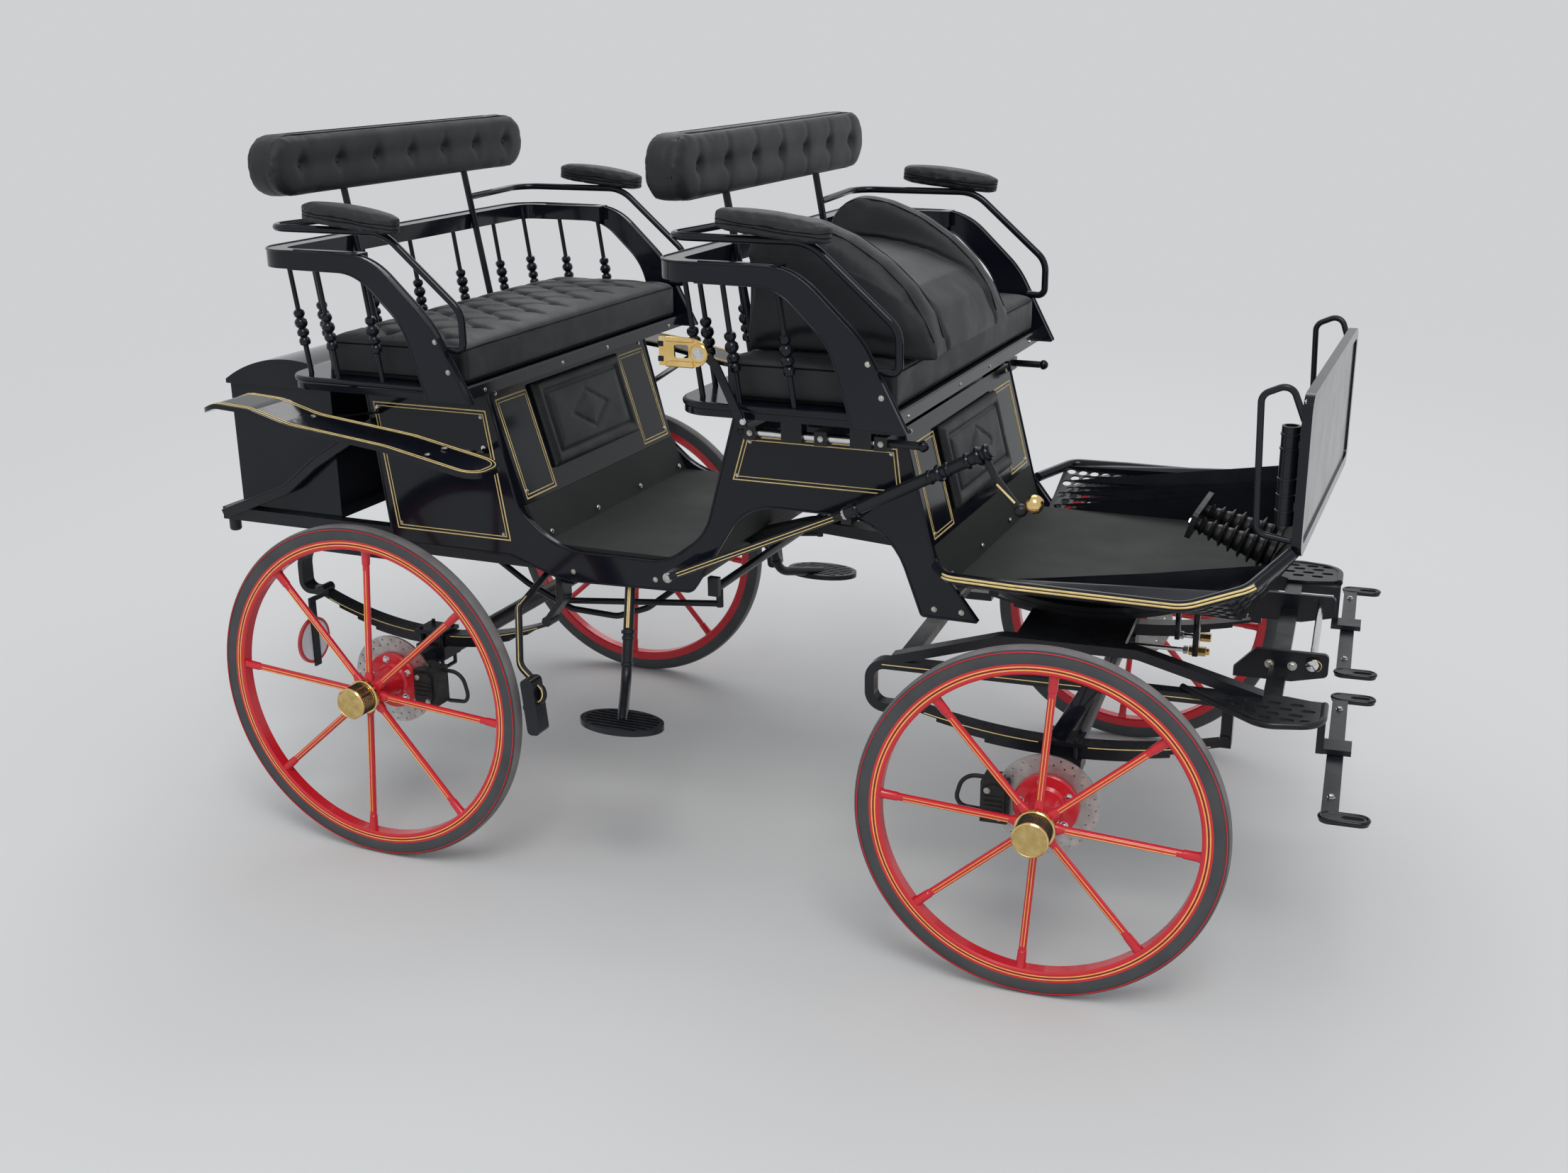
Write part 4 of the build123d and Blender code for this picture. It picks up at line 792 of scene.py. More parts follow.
def makeSoftShapes():
    made = {}
    for seat, (dx, dz) in seatSteps.items():
        spec = baseCushion
        low, high = spec["low"], spec["high"]
        bm = bmesh.new()
        addBlock(bm, at(low[0] + dx, low[1], low[2] + dz), at(high[0] + dx, high[1], high[2] + dz), spec["round"],
                 segments=4)
        voxel = upholstery["voxel"] if seat == "rear" else upholstery["bigVoxel"]
        made[f"{seat}Base"] = closedPiece(bm, f"{seat}SeatCushion", voxel, upholstery["bigCap"],
                                          at(0, 0, spec["rest"] + dz).z)
        spec = backPad
        plate = flatShape(stadium(spec["halfLength"] / 1000, spec["height"] / 2000), [],
                          spec["thickness"] / 1000)
        x, y, z = spec["centre"]
        plate.transform(Matrix.Translation(at(x + dx, y, z + dz)) @ quarter("Z") @ quarter("X"))
        bm = bmesh.new()
        bm.from_mesh(plate)
        made[f"{seat}Back"] = closedPiece(bm, f"{seat}BackPad", upholstery["fineVoxel"], spec["cap"])
        for name, side in (("Right", -1), ("Left", 1)):
            spec = armPad
            plate = flatShape(longOval(spec["length"] / 2000, spec["width"] / 2000), [], spec["thickness"] / 1000)
            x, y, z = spec["centre"]
            plate.transform(Matrix.Translation(at(x + dx, side * y, z + dz))
                            @ Matrix.Rotation(math.radians(spec["lean"]), 4, "Y"))
            bm = bmesh.new()
            bm.from_mesh(plate)
            made[f"{seat}Arm{name}"] = closedPiece(bm, f"{seat}ArmPad{name}", spec["voxel"], spec["cap"])
    bm = sideProfile(wedge["seat"], wedge["y"][0] + wedge["seatInset"], wedge["y"][3] - wedge["seatInset"])
    for pair in ((0, 1), (2, 3)):
        bolster = sideProfile(wedge["crest"], wedge["y"][pair[0]], wedge["y"][pair[1]])
        mesh = bpy.data.meshes.new("bolster")
        bolster.to_mesh(mesh)
        bolster.free()
        bm.from_mesh(mesh)
    made["wedge"] = closedPiece(bm, "driverWedge", upholstery["voxel"], wedge["cap"], at(0, 0, wedge["rest"]).z)
    return made


def fromAxle(spots):
    # Coordinates in millimetres, x from the rear axle
    return (spots[:, 0] - rearAxleX) * 1000, spots[:, 1] * 1000, spots[:, 2] * 1000


def cushionCrown(x, y, rise):
    # The swollen top of a seat cushion, which falls off near its edges
    spec = crownSpec
    return (rise * np.clip(1 - (np.abs(y) / spec["halfWidth"]) ** 4, 0, 1)
            * np.clip(1 - ((x - spec["middle"]) / spec["halfDepth"]) ** 4, 0, 1))


def shapeRearBase(spots, normals):
    # Buttons in staggered rows, joined by slanting creases
    spec = tuftRows
    x, y, _ = fromAxle(spots)
    up = np.clip(normals[:, 2], 0, 1) ** 2
    inside = np.ones(len(x))
    for reach in (spec["front"] - x, x - spec["back"], spec["side"] - np.abs(y)):
        inside = inside * np.clip(reach / spec["fade"], 0, 1)
    crown = cushionCrown(x, y, 0.014)
    buttons, creases = np.zeros(len(x)), np.zeros(len(x))
    spotsOfRow = []
    for row, rowX in enumerate(spec["x"]):
        shift = 0 if row % 2 else spec["pitch"] / 2
        count = int(spec["reach"] // spec["pitch"])
        spotsOfRow.append([(rowX, k * spec["pitch"] + shift) for k in range(-count - 1, count + 1)
                           if abs(k * spec["pitch"] + shift) <= spec["reach"]])
    for row in spotsOfRow:
        for bx, by in row:
            buttons = np.maximum(buttons, groove(np.hypot(x - bx, y - by), spec["buttonWidth"]))
    for first, second in zip(spotsOfRow, spotsOfRow[1:]):
        for ax, ay in first:
            for bx, by in second:
                if abs(ay - by) < spec["pitch"] * 0.6:
                    distance = distanceToRun(x, y, (ax, ay), (bx, by))
                    creases = np.maximum(creases, groove(distance, spec["creaseWidth"]))
    for rowEnd, edge in zip((spotsOfRow[0], spotsOfRow[-1]), spec["creaseEnds"]):
        for bx, by in rowEnd:
            distance = distanceToRun(x, y, (bx, by), (edge, by))
            creases = np.maximum(creases, groove(distance, spec["creaseWidth"]))
    drop = (crown - spec["depth"] * buttons * inside - spec["crease"] * creases * inside) * up
    spots = spots + normals * drop[:, None]
    return seamRound(spots, normals, baseCushion["high"][2])


def distanceToRun(x, y, start, end):
    run = (end[0] - start[0], end[1] - start[1])
    share = np.clip(((x - start[0]) * run[0] + (y - start[1]) * run[1]) / (run[0] ** 2 + run[1] ** 2), 0, 1)
    return np.hypot(x - start[0] - share * run[0], y - start[1] - share * run[1])


def seamRound(spots, normals, seamZ):
    # The seam that runs round the top of a boxed cushion
    z = spots[:, 2] * 1000
    outward = 1 - np.abs(normals[:, 2])
    depth = 0.003 * groove(z - seamZ, 4) * np.clip(outward * 1.5, 0, 1)
    return spots - normals * depth[:, None]


def shapeFrontBase(spots, normals):
    dx, dz = seatSteps["front"]
    x, y, _ = fromAxle(spots)
    up = np.clip(normals[:, 2], 0, 1) ** 2
    low, high = wedge["covers"]
    move = np.where((y > low) & (y < high), -0.002, cushionCrown(x - dx, y, 0.012))
    spots = spots + normals * (move * up)[:, None]
    return seamRound(spots, normals, baseCushion["high"][2] + dz)


def shapeBackPad(dx, dz):
    def shape(spots, normals):
        spec = backPad
        _, y, z = fromAxle(spots)
        z = z - spec["centre"][2] - dz
        front = np.clip(normals[:, 0], 0, 1) ** 1.5
        half = spec["halfLength"] - spec["height"] / 2
        edge = np.hypot(np.maximum(np.abs(y) - half, 0), z) / (spec["height"] / 2)
        crown = 0.010 * np.clip(1 - edge ** 3, 0, 1)
        buttons, creases = np.zeros(len(y)), np.zeros(len(y))
        count = spec["buttons"]
        places = [(k - (count - 1) / 2) * spec["buttonPitch"] for k in range(count)]
        for place in places:
            buttons = np.maximum(buttons, groove(np.hypot(y - place, z), 17))
            fade = np.clip((spec["pleats"][1 if dx else 0] - np.abs(z)) / 20, 0, 1)
            creases = np.maximum(creases, groove(y - place, 11) * fade)
        between = groove(z, 22) * (np.abs(y) < places[-1])
        drop = (crown - 0.013 * buttons - 0.0022 * creases - 0.0045 * between) * front
        spots = spots + normals * drop[:, None]
        x = fromAxle(spots)[0] - spec["centre"][0] - dx
        side = np.clip(1 - np.abs(normals[:, 0]), 0, 1)
        seams = sum(groove(x - place, 4) for place in spec["seams"])
        return spots - normals * (0.002 * seams * side)[:, None]
    return shape


def shapeArmPad(dx, dz):
    def shape(spots, normals):
        spec = armPad
        x, y, z = fromAxle(spots)
        x = x - spec["centre"][0] - dx
        y = np.abs(y) - spec["centre"][1]
        z = z - spec["centre"][2] - dz + x * math.tan(math.radians(spec["lean"]))
        side = np.clip(1 - np.abs(normals[:, 2]), 0, 1)
        seams = sum(groove(z - place, 2.5) for place in spec["seams"])
        edge = np.hypot(x / spec["half"][0], y / spec["half"][1])
        crown = 0.011 * np.clip(1 - edge ** 2, 0, 1) * np.clip(normals[:, 2], 0, 1)
        return spots + normals * (crown - 0.0018 * seams * side)[:, None]
    return shape


def shapeWedge(spots, normals):
    # Bolsters with rounded tops, a crowned seat between them, and the seams where they meet
    x, y, z = fromAxle(spots)
    seatX, seatZ = zip(*wedge["seat"][1:-1])
    over = np.clip((z - np.interp(x, seatX, seatZ) - 4) / 45, 0, 1)
    outer, inner, farInner, farOuter = wedge["y"]
    half = (inner - outer) / 2
    for centre in ((outer + inner) / 2, (farInner + farOuter) / 2):
        share = np.clip(np.abs(y - centre) / (half + 6), 0, 1)
        near = np.abs(y - centre) < half + 20
        spots[:, 2] -= np.where(near, over * 0.032 * (1 - np.sqrt(1 - share ** 2)), 0)
    seams = np.maximum(groove(y - inner - 4, 7), groove(y - farInner + 4, 7))
    crest = np.maximum(groove(y - inner + 26, 3.5), groove(y - farInner - 26, 3.5)) * over
    up = np.clip(normals[:, 2] + normals[:, 0], 0, 1)
    middle = (outer + farOuter) / 2
    crown = 0.004 * np.clip(1 - ((y - middle) / 185) ** 2, 0, 1) * np.clip((x - 950) / 60, 0, 1)
    spots = spots + normals * ((crown - 0.009 * seams - 0.003 * crest) * up)[:, None]
    edge = groove(x - 958, 5) + groove(x - 964, 3)  # the seam round the upright back
    return spots - normals * (0.002 * edge * np.clip(1 - np.abs(normals[:, 0]), 0, 1))[:, None]


# Padded panels on the fronts of the boxes: a border, a frame seam and a quilted diamond

panelSpec = {
    # x and z of the top edge, x and z of the lower edge of each panel's back
    "places": {"rear": (205.7, 1146.4, 275.5, 915.2), "front": (1303.8, 1119.7, 1358, 911)},
    "halfWidth": 231,
    "thickness": 14,
    "border": 40,
    "diamond": (88, 50),
    # in metres: what it stops short of its field above and below, its rounding, even mesh and most swelling
    "margin": 0.004,
    "round": 0.005,
    "voxel": 0.005,
    "cap": 0.003,
}


def panelFrame(name):
    xTop, zTop, xLow, zLow = panelSpec["places"][name]
    height = math.hypot(xTop - xLow, zTop - zLow)
    up = Vector(((xTop - xLow) / height, 0, (zTop - zLow) / height))
    out = Vector((up.z, 0, -up.x))
    low = at(xLow, 0, zLow)
    place = Matrix.Translation(low) @ Matrix((Vector((0, 1, 0)), up, out)).transposed().to_4x4()
    return place, height


def shapePanel(name):
    place, height = panelFrame(name)
    back = np.array(place.inverted())
    out = np.array(place.to_3x3())[:, 2]

    def shape(spots, normals):
        spec = panelSpec
        local = spots @ back[:3, :3].T + back[:3, 3]
        y = np.abs(local[:, 0] * 1000)
        s = local[:, 1] * 1000
        rise = np.abs(s - height / 2)
        face = np.clip(normals @ out, 0, 1) ** 2
        inset = np.minimum(spec["halfWidth"] - y, height / 2 - rise)  # how far in from the nearest edge
        frame = groove(inset - spec["border"], 5)
        piping = groove(inset - 9, 3)
        halfWide, halfHigh = spec["diamond"]
        diamond = y / halfWide + rise / halfHigh
        line = groove((diamond - 1) * 42, 5)
        field = np.clip((inset - spec["border"]) / 30, 0, 1)
        swell = 0.004 * field + 0.004 * np.clip(1 - diamond, 0, 1) + 0.003 * np.clip(1 - abs(inset - 22) / 20, 0, 1)
        move = (swell - 0.006 * frame - 0.0045 * line - 0.002 * piping) * face
        return spots + normals * move[:, None]
    return shape


def makePanelShapes(made):
    spec = panelSpec
    for name in spec["places"]:
        place, height = panelFrame(name)
        half = spec["halfWidth"] / 1000
        bm = bmesh.new()
        addBlock(bm, (-half, spec["margin"], 0.001), (half, height / 1000 - spec["margin"], spec["thickness"] / 1000),
                 spec["round"], place)
        made[f"{name}Panel"] = closedPiece(bm, f"{name}BoxPanel", spec["voxel"], spec["cap"])


def divided(ring, step, closed=True):
    # A ring of corners with points added along its runs
    corners = list(ring)
    following = corners[1:] + corners[:1] if closed else corners[1:]
    points = []
    for start, end in zip(corners, following):
        start, end = Vector(start), Vector(end)
        count = max(1, round((end - start).length / step))
        points += [start + (end - start) * i / count for i in range(count)]
    return points if closed else points + [Vector(corners[-1])]


def roundedRing(halfX, halfY, corner, steps=6):
    ring = []
    for quarter, sx, sy in ((0, 1, 1), (90, -1, 1), (180, -1, -1), (270, 1, -1)):
        for i in range(steps + 1):
            a = math.radians(quarter + 90 * i / steps)
            ring.append((sx * (halfX - corner) + corner * math.cos(a), sy * (halfY - corner) + corner * math.sin(a)))
    return ring


pipingSpec = {
    "radius": 0.0019,
    "armRadius": 0.0014,
    # distance between the points of a seam, on the seats and backs and on the arms and wedge, in metres
    "step": 0.02,
    "fineStep": 0.015,
    # how far outside each kind of piece its route runs
    "outside": {"base": 8, "back": 6, "arm": 4},
    # corner of the cushions' seams, and what they lie inside the top and the bottom
    "baseCorner": 26,
    "baseInset": (5, 7),
    # x of the back pads' seams and height of the arm pads', off the middle of the pad
    "backSeams": (30, 18, -30),
    "armSeams": (2, -7),
    # what the bolsters' seams lie inside their sides, and above the crest before they are laid on it
    "wedgeInset": 14,
    "wedgeLift": 6,
    "button": [(-0.004, 0.0085), (0.001, 0.0085), (0.0032, 0.0065), (0.004, 0.003), (0.0042, 0)],
}


def addPiping(bm, tree, route, radius, closed=True):
    # A corded seam laid on the surface nearest to a route
    spots = [tree.find_nearest(point)[0] for point in route]
    for _ in range(2):
        before = spots[-1:] + spots[:-1] if closed else spots[:1] + spots[:-1]
        after = spots[1:] + spots[:1] if closed else spots[1:] + spots[-1:]
        spots = [(a + b * 2 + c) / 4 for a, b, c in zip(before, spots, after)]
    addTube(bm, spots, radius, closed=closed, sides=6)


def surfaceOf(piece):
    mesh = piece.data
    return BVHTree.FromPolygons([v.co for v in mesh.vertices], [p.vertices for p in mesh.polygons])


def makePiping(made, piping):
    bm = bmesh.new()
    buttons = bmesh.new()
    for seat, (dx, dz) in seatSteps.items():
        spec = baseCushion
        tree = surfaceOf(made[f"{seat}Base"])
        middle = [(a + b) / 2 for a, b in zip(spec["low"], spec["high"])]
        out = piping["outside"]["base"]
        ring = roundedRing((spec["high"][0] - spec["low"][0]) / 2 + out, (spec["high"][1] - spec["low"][1]) / 2 + out,
                           piping["baseCorner"])
        topInset, footInset = piping["baseInset"]
        for z in (spec["high"][2] - topInset, spec["low"][2] + footInset):
            route = divided([at(middle[0] + dx + x, middle[1] + y, z + dz) for x, y in ring], piping["step"])
            addPiping(bm, tree, route, piping["radius"])
        spec = backPad
        tree = surfaceOf(made[f"{seat}Back"])
        x0, y0, z0 = spec["centre"]
        out = piping["outside"]["back"]
        ring = stadium(spec["halfLength"] + out, spec["height"] / 2 + out)
        for off in piping["backSeams"]:
            route = divided([at(x0 + dx + off, y0 + y, z0 + dz + z) for y, z in ring], piping["step"])
            addPiping(bm, tree, route, piping["radius"])
        count = spec["buttons"]
        for k in range(count):
            front = at(x0 + dx + 60, (k - (count - 1) / 2) * spec["buttonPitch"], z0 + dz)
            spot = tree.ray_cast(front, Vector((-1, 0, 0)))[0]
            addTurned(buttons, piping["button"], 16, directed(spot, Vector((1, 0, 0))))
        spec = armPad
        x0, y0, z0 = spec["centre"]
        out = piping["outside"]["arm"]
        ring = longOval(spec["length"] / 2 + out, spec["width"] / 2 + out)
        slope = math.tan(math.radians(spec["lean"]))
        for name, side in (("Right", -1), ("Left", 1)):
            tree = surfaceOf(made[f"{seat}Arm{name}"])
            for lift in piping["armSeams"]:
                route = [at(x0 + dx + x, side * y0 + y, z0 + dz + lift - x * slope) for x, y in ring]
                addPiping(bm, tree, divided(route, piping["fineStep"]), piping["armRadius"])
    tree = surfaceOf(made["wedge"])
    outer, inner, farInner, farOuter = wedge["y"]
    inset, lift = piping["wedgeInset"], piping["wedgeLift"]
    for y in (inner - inset, outer + inset, farInner + inset, farOuter - inset):
        route = divided([at(x, y, z + lift) for x, z in wedge["crest"][2:-1]], piping["fineStep"], closed=False)
        addPiping(bm, tree, route, piping["radius"], closed=False)
    # the piping's near-black finish is partly the thread's colour and partly painted shade along the seams
    makePiece(bm, "seatPiping", "root", ["piping"], 60)
    makePiece(buttons, "seatButtons", "root", ["leather"], 60)


def makeUpholstery():
    made = makeSoftShapes()
    makePanelShapes(made)
    print("upholstery shapes made")
    swellAll()
    dress(made["rearBase"], "root", "seat_cushions", "leather", shapeRearBase)
    dress(made["frontBase"], "root", "seat_cushions", "leather", shapeFrontBase)
    dress(made["wedge"], "root", "driver_cushion", "leather", shapeWedge)
    for seat, (dx, dz) in seatSteps.items():
        dress(made[f"{seat}Back"], "root", "back_pads", "leather", shapeBackPad(dx, dz))
        for name in ("Right", "Left"):
            dress(made[f"{seat}Arm{name}"], "root", "arm_pads", "leather", shapeArmPad(dx, dz))
    for name in panelSpec["places"]:
        dress(made[f"{name}Panel"], "root", "padded_panels", "leather", shapePanel(name))
    makePiping(made, pipingSpec)
    print("upholstery made")


makeUpholstery()

# Coach lines, edges and small fittings of the body. Places on the right side are mirrored to the left.


def roundRoute(points, bends, steps=8):
    # Straight runs joined by arcs, as in a bent rail
    route = [Vector(points[0])]
    for before, corner, after, bend in zip(points, points[1:], points[2:], bends):
        corner = Vector(corner)
        back, ahead = (Vector(before) - corner).normalized(), (Vector(after) - corner).normalized()
        half = back.angle(ahead) / 2
        start, end = corner + back * bend / math.tan(half), corner + ahead * bend / math.tan(half)
        middle = corner + (back + ahead).normalized() * bend / math.sin(half)
        route += [middle + (start - middle).slerp(end - middle, i / steps).normalized() * bend
                  for i in range(steps + 1)]
    return route + [Vector(points[-1])]


def insetRing(corners, distance):
    # A flat ring drawn inward by a distance, its corners given in order
    ring = []
    middle = sum((Vector(c) for c in corners), Vector((0, 0))) / len(corners)
    for before, corner, after in zip(corners[-1:] + corners[:-1], corners, corners[1:] + corners[:1]):
        corner = Vector(corner)
        back, ahead = (Vector(before) - corner).normalized(), (Vector(after) - corner).normalized()
        inward = (back + ahead).normalized()
        if inward.dot(middle - corner) < 0:
            inward = -inward
        ring.append(corner + inward * distance / math.sin(back.angle(ahead) / 2))
    return ring


coachLines = {
    "wide": 2.5,
    "narrow": 1.8,
    "step": 8.5,
    "lift": 0.4,
    # inset of the frames on the body sides, the sides' y, and the edge of the padded panels' field
    "inset": 6,
    "sideY": 420,
    "panelSide": 246,
    # corners x, z of the frames on the body sides
    "sideFrames": {
        "rear": [(-140, 1112), (205, 1112), (258, 772), (-92, 772)],
        "front": [(903, 1108), (1286, 1108), (1300, 990), (868, 990)],
    },
    # x at z 1000 and its change per millimetre up, and the frame's y and z limits, on the fronts of the boxes
    "boxFronts": {
        "rear": (251.5, -0.3119, 388, 882, 1128),
        "front": (1335.0, -0.2593, 388, 892, 1108),
    },
}


def addCoachLine(bm, points, radius, normal):
    addTube(bm, points, radius / 1000, closed=True, sides=6, squeeze=(Vector(normal).normalized(), 0.35))


def makeCoachLines(spec):
    bm = bmesh.new()
    for corners in spec["sideFrames"].values():
        for radius, inset in ((spec["wide"], spec["inset"]), (spec["narrow"], spec["inset"] + spec["step"])):
            ring = insetRing(corners, inset)
            for side in (-1, 1):
                points = [at(x, side * (spec["sideY"] + spec["lift"]), z) for x, z in ring]
                addCoachLine(bm, points, radius, (0, 1, 0))
    for x0, slope, halfWide, low, high in spec["boxFronts"].values():
        for radius, inset in ((spec["wide"], 0), (spec["narrow"], spec["step"])):
            for side in (-1, 1):
                # round the block beside the padded panel
                wide, near = side * halfWide, side * spec["panelSide"]
                corners = [(wide, low), (wide, high), (near, high), (near, low)]
                ring = insetRing(corners, inset + 0.01)
                points = [at(x0 + slope * (z - 1000) + spec["lift"], y, z) for y, z in ring]
                addCoachLine(bm, points, radius, (1, 0, -slope))
    makePiece(bm, "coachLines", "root", ["goldLine"], 60)


railSpec = {
    "route": [(1384, -430, 842), (1450, -550, 858), (1600, -560, 858), (1960, -560, 858), (2080, -530, 900),
              (2152, -446, 962)],
    "bends": [40, 60, 120, 60],
    "radius": 13,
    # turns of the two lines from level towards up, in degrees
    "lines": (0, 30),
}
railLine = roundRoute(railSpec["route"], railSpec["bends"])


def railAt(x):
    spots = np.array([tuple(p) for p in railLine])
    return float(np.interp(x, spots[:, 0], spots[:, 1])), float(np.interp(x, spots[:, 0], spots[:, 2]))


def makeRailLines(spec):
    bm = bmesh.new()
    for turn in spec["lines"]:
        a = math.radians(turn)
        shifted = []
        for i in range(2, len(railLine) - 2):
            along = (railLine[i + 1] - railLine[i - 1]).normalized()
            outward = along.cross(Vector((0, 0, 1))).normalized()
            upright = outward.cross(along)
            shifted.append(railLine[i] + (outward * math.cos(a) + upright * math.sin(a)) * (spec["radius"] + 0.3))
        for side in (1, -1):
            addTube(bm, [at(p.x, side * p.y, p.z) for p in shifted], 0.0025, sides=6)
    makePiece(bm, "railLines", "root", ["goldLine"], 60)


skirtSpec = {
    "from": 1436,
    "to": 2138,
    "foot": 345,
    "floor": 770,
    "riseFrom": 2040,
    "rise": 1.3667,
    "thickness": 4,
    "pitch": 31,
    "rows": 27,
    "hole": 12,
    "margin": 20,
    "step": 14,
}


def skirtEdges(x):
    spec = skirtSpec
    foot = Vector((x, -spec["foot"] - 1, spec["floor"] + 4 + max(0, x - spec["riseFrom"]) * spec["rise"]))
    y, z = railAt(x)
    return foot, Vector((x, y, z - 2))


def makeSkirts(spec):
    count = int((spec["to"] - spec["from"]) / spec["step"])
    stations = [spec["from"] + (spec["to"] - spec["from"]) * i / count for i in range(count + 1)]
    width = {x: (skirtEdges(x)[1] - skirtEdges(x)[0]).length for x in stations}
    outline = [(x, 0) for x in stations] + [(x, width[x]) for x in reversed(stations)]
    holes = []
    for row in range(8):
        w = spec["margin"] + row * spec["rows"]
        x = spec["from"] + spec["margin"] + (row % 2) * spec["pitch"] / 2
        while x < spec["to"] - spec["margin"]:
            narrow = min((skirtEdges(e)[1] - skirtEdges(e)[0]).length for e in (x - spec["hole"], x + spec["hole"]))
            if w < narrow - spec["margin"] - 4:
                holes.append(circle(x, w, spec["hole"], 12))
            x += spec["pitch"]
    for name, side in (("Right", 1), ("Left", -1)):
        plate = flatShape(outline, holes, spec["thickness"])
        for vert in plate.vertices:
            x, w, lift = vert.co
            foot, top = skirtEdges(x)
            across = (top - foot).normalized()
            spot = foot + across * w + across.cross(Vector((1, 0, 0))) * lift
            vert.co = at(spot.x, side * spot.y, spot.z)
        bm = bmesh.new()
        bm.from_mesh(plate)
        skirt = makePiece(bm, f"piercedSkirt{name}", "root", ["satinBlack"], 30)
        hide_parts("side_skirts")


# Slides under the front seat: bright sleeves along the rods and a ball on each end

slideSpec = {
    "y": 500,
    "z": 1134,
    "sleeves": [(978, 1040), (1090, 1120), (1150, 1205), (1255, 1262)],
    "sleeveRadius": 0.0098,
    "balls": (940, 1370),
    "ball": [(-0.013, 0), (-0.011, 0.007), (-0.005, 0.012), (0, 0.0135), (0.005, 0.012), (0.011, 0.007), (0.013, 0)],
}


def makeSlides(spec):
    bm = bmesh.new()
    radius = spec["sleeveRadius"]
    for side in (-1, 1):
        for start, end in spec["sleeves"]:
            place = Matrix.Translation(at(start, side * spec["y"], spec["z"])) @ quarter("Y")
            length = (end - start) / 1000
            addTurned(bm, [(0, 0), (0, radius), (length, radius), (length, 0)], 20, place)
        for x in spec["balls"]:
            place = Matrix.Translation(at(x, side * spec["y"], spec["z"])) @ quarter("Y")
            addTurned(bm, spec["ball"], 20, place, 1)
    makePiece(bm, "slideSleeves", "root", ["chrome", "glossBlack"], 40)


# Bolts: place in millimetres on the right side, direction, radius, height, and whether the left side has it too

boltTable = [
    # body sides, just inside the frames
    *[((x, -420, z), (0, -1, 0), 3.6, 4, True) for x, z in
      [(-120, 1090), (186, 1090), (232, 792), (-76, 792), (920, 1090), (1268, 1090), (1282, 1006), (886, 1006)]],
    # blades, rear and front
    *[((x + dx, -612, z + dz), (0, -1, 0), 4.8, 4, True) for dx, dz in seatSteps.values()
      for x, z in [(201, 1310), (232, 1240)]],
    *[((251 + dx, y, 1178 + dz), (1, 0, 0), 4, 3, True) for dx, dz in seatSteps.values() for y in (-490, -120)],
    # kick-boards and fronts of the boxes
    *[((x, y, z), (1, 0, slope), 5, 3, True) for x, z, slope in ((338, 796, 0.45), (1398, 806, 0.35))
      for y in (-360, -120)],
    *[((x, -380, z), (1, 0, 0.29), 4.5, 3, True) for x, z in ((207, 1144), (283, 900), (1300, 1136), (1361, 902))],
    # brackets of the slides, sill and wheel arch
    *[((x, -516, 1134), (0, -1, 0), 5, 4, True) for x in (963, 1135, 1277)],
    *[((x, -420, z), (0, -1, 0), 5, 4, True) for x, z in ((430, 716), (660, 722), (1440, 735), (1375, 735))],
    # brake pivots, dashboard and whip socket straps
    ((1190, -505, 964), (0, -1, 0), 9, 6, False),
    ((737, -505, 761), (0, -1, 0), 9, 6, False),
    *[((2154, y, z), (-1, 0, 0), 5, 4, True) for y in (-436, -200) for z in (968, 1276)],
]


def makeBolts(rows):
    bm = bmesh.new()
    for spot, normal, radius, height, mirrored in rows:
        for side in (1, -1) if mirrored else (1,):
            place = at(spot[0], side * spot[1], spot[2])
            addBolt(bm, place, (normal[0], side * normal[1], normal[2]), radius / 1000, height / 1000)
    makePiece(bm, "bodyBolts", "root", ["zinc"], 35)


# Hand-brake: collars near the top, lines along the lower bar and the crank, and a brass knob

brakeSpec = {
    "low": (737, -500, 761), "bolt": (1190, -500, 964), "top": (1524, -500, 1138), "tip": (1590, -500, 1012),
    # distance from the bolt and radius of each collar
    "collars": [(30, 18), (222, 17), (246, 20), (268, 17), (318, 19), (346, 22), (366, 19)],
    "knob": [(-0.013, 0), (-0.011, 0.006), (-0.006, 0.011), (0, 0.0125), (0.007, 0.011), (0.012, 0.0075),
             (0.016, 0.0085), (0.021, 0.015), (0.028, 0.0195), (0.036, 0.0215), (0.044, 0.0195), (0.051, 0.014),
             (0.056, 0.006), (0.057, 0)],
}


def makeHandBrake(spec):
    low, bolt, top, tip = (at(*spec[k]) for k in ("low", "bolt", "top", "tip"))
    run = (top - bolt).normalized()
    bm = bmesh.new()
    for distance, radius in spec["collars"]:
        r = radius / 1000
        addTurned(bm, [(-0.006, 0.013), (-0.005, r - 0.002), (-0.002, r), (0.002, r), (0.005, r - 0.002),
                       (0.006, 0.013)], 28, directed(bolt + run * distance / 1000, run))
    makePiece(bm, "brakeCollars", "root", ["glossBlack"], 30)
    bm = bmesh.new()
    flat = (bolt - low).normalized()
    for shift in (-0.0035, 0.0035):
        lift = Vector((0, -0.0088, 0)) + flat.cross(Vector((0, 1, 0))) * shift
        addTube(bm, [low + flat * 0.03 + lift, bolt - flat * 0.03 + lift], 0.0012, sides=6)
    arm = (tip - top).normalized()
    start = top + Vector((0.006, 0, -0.053))
    addTube(bm, [start + Vector((0, -0.0085, 0)) + arm * 0.02, tip + Vector((0, -0.0085, 0)) - arm * 0.02], 0.0024,
            sides=6)
    makePiece(bm, "brakeLines", "root", ["goldLine"], 60)
    bm = bmesh.new()
    addTurned(bm, spec["knob"], 40, directed(tip, run))
    makePiece(bm, "brakeKnob", "root", ["brass"], 60)


# Wings: double lines round the blade

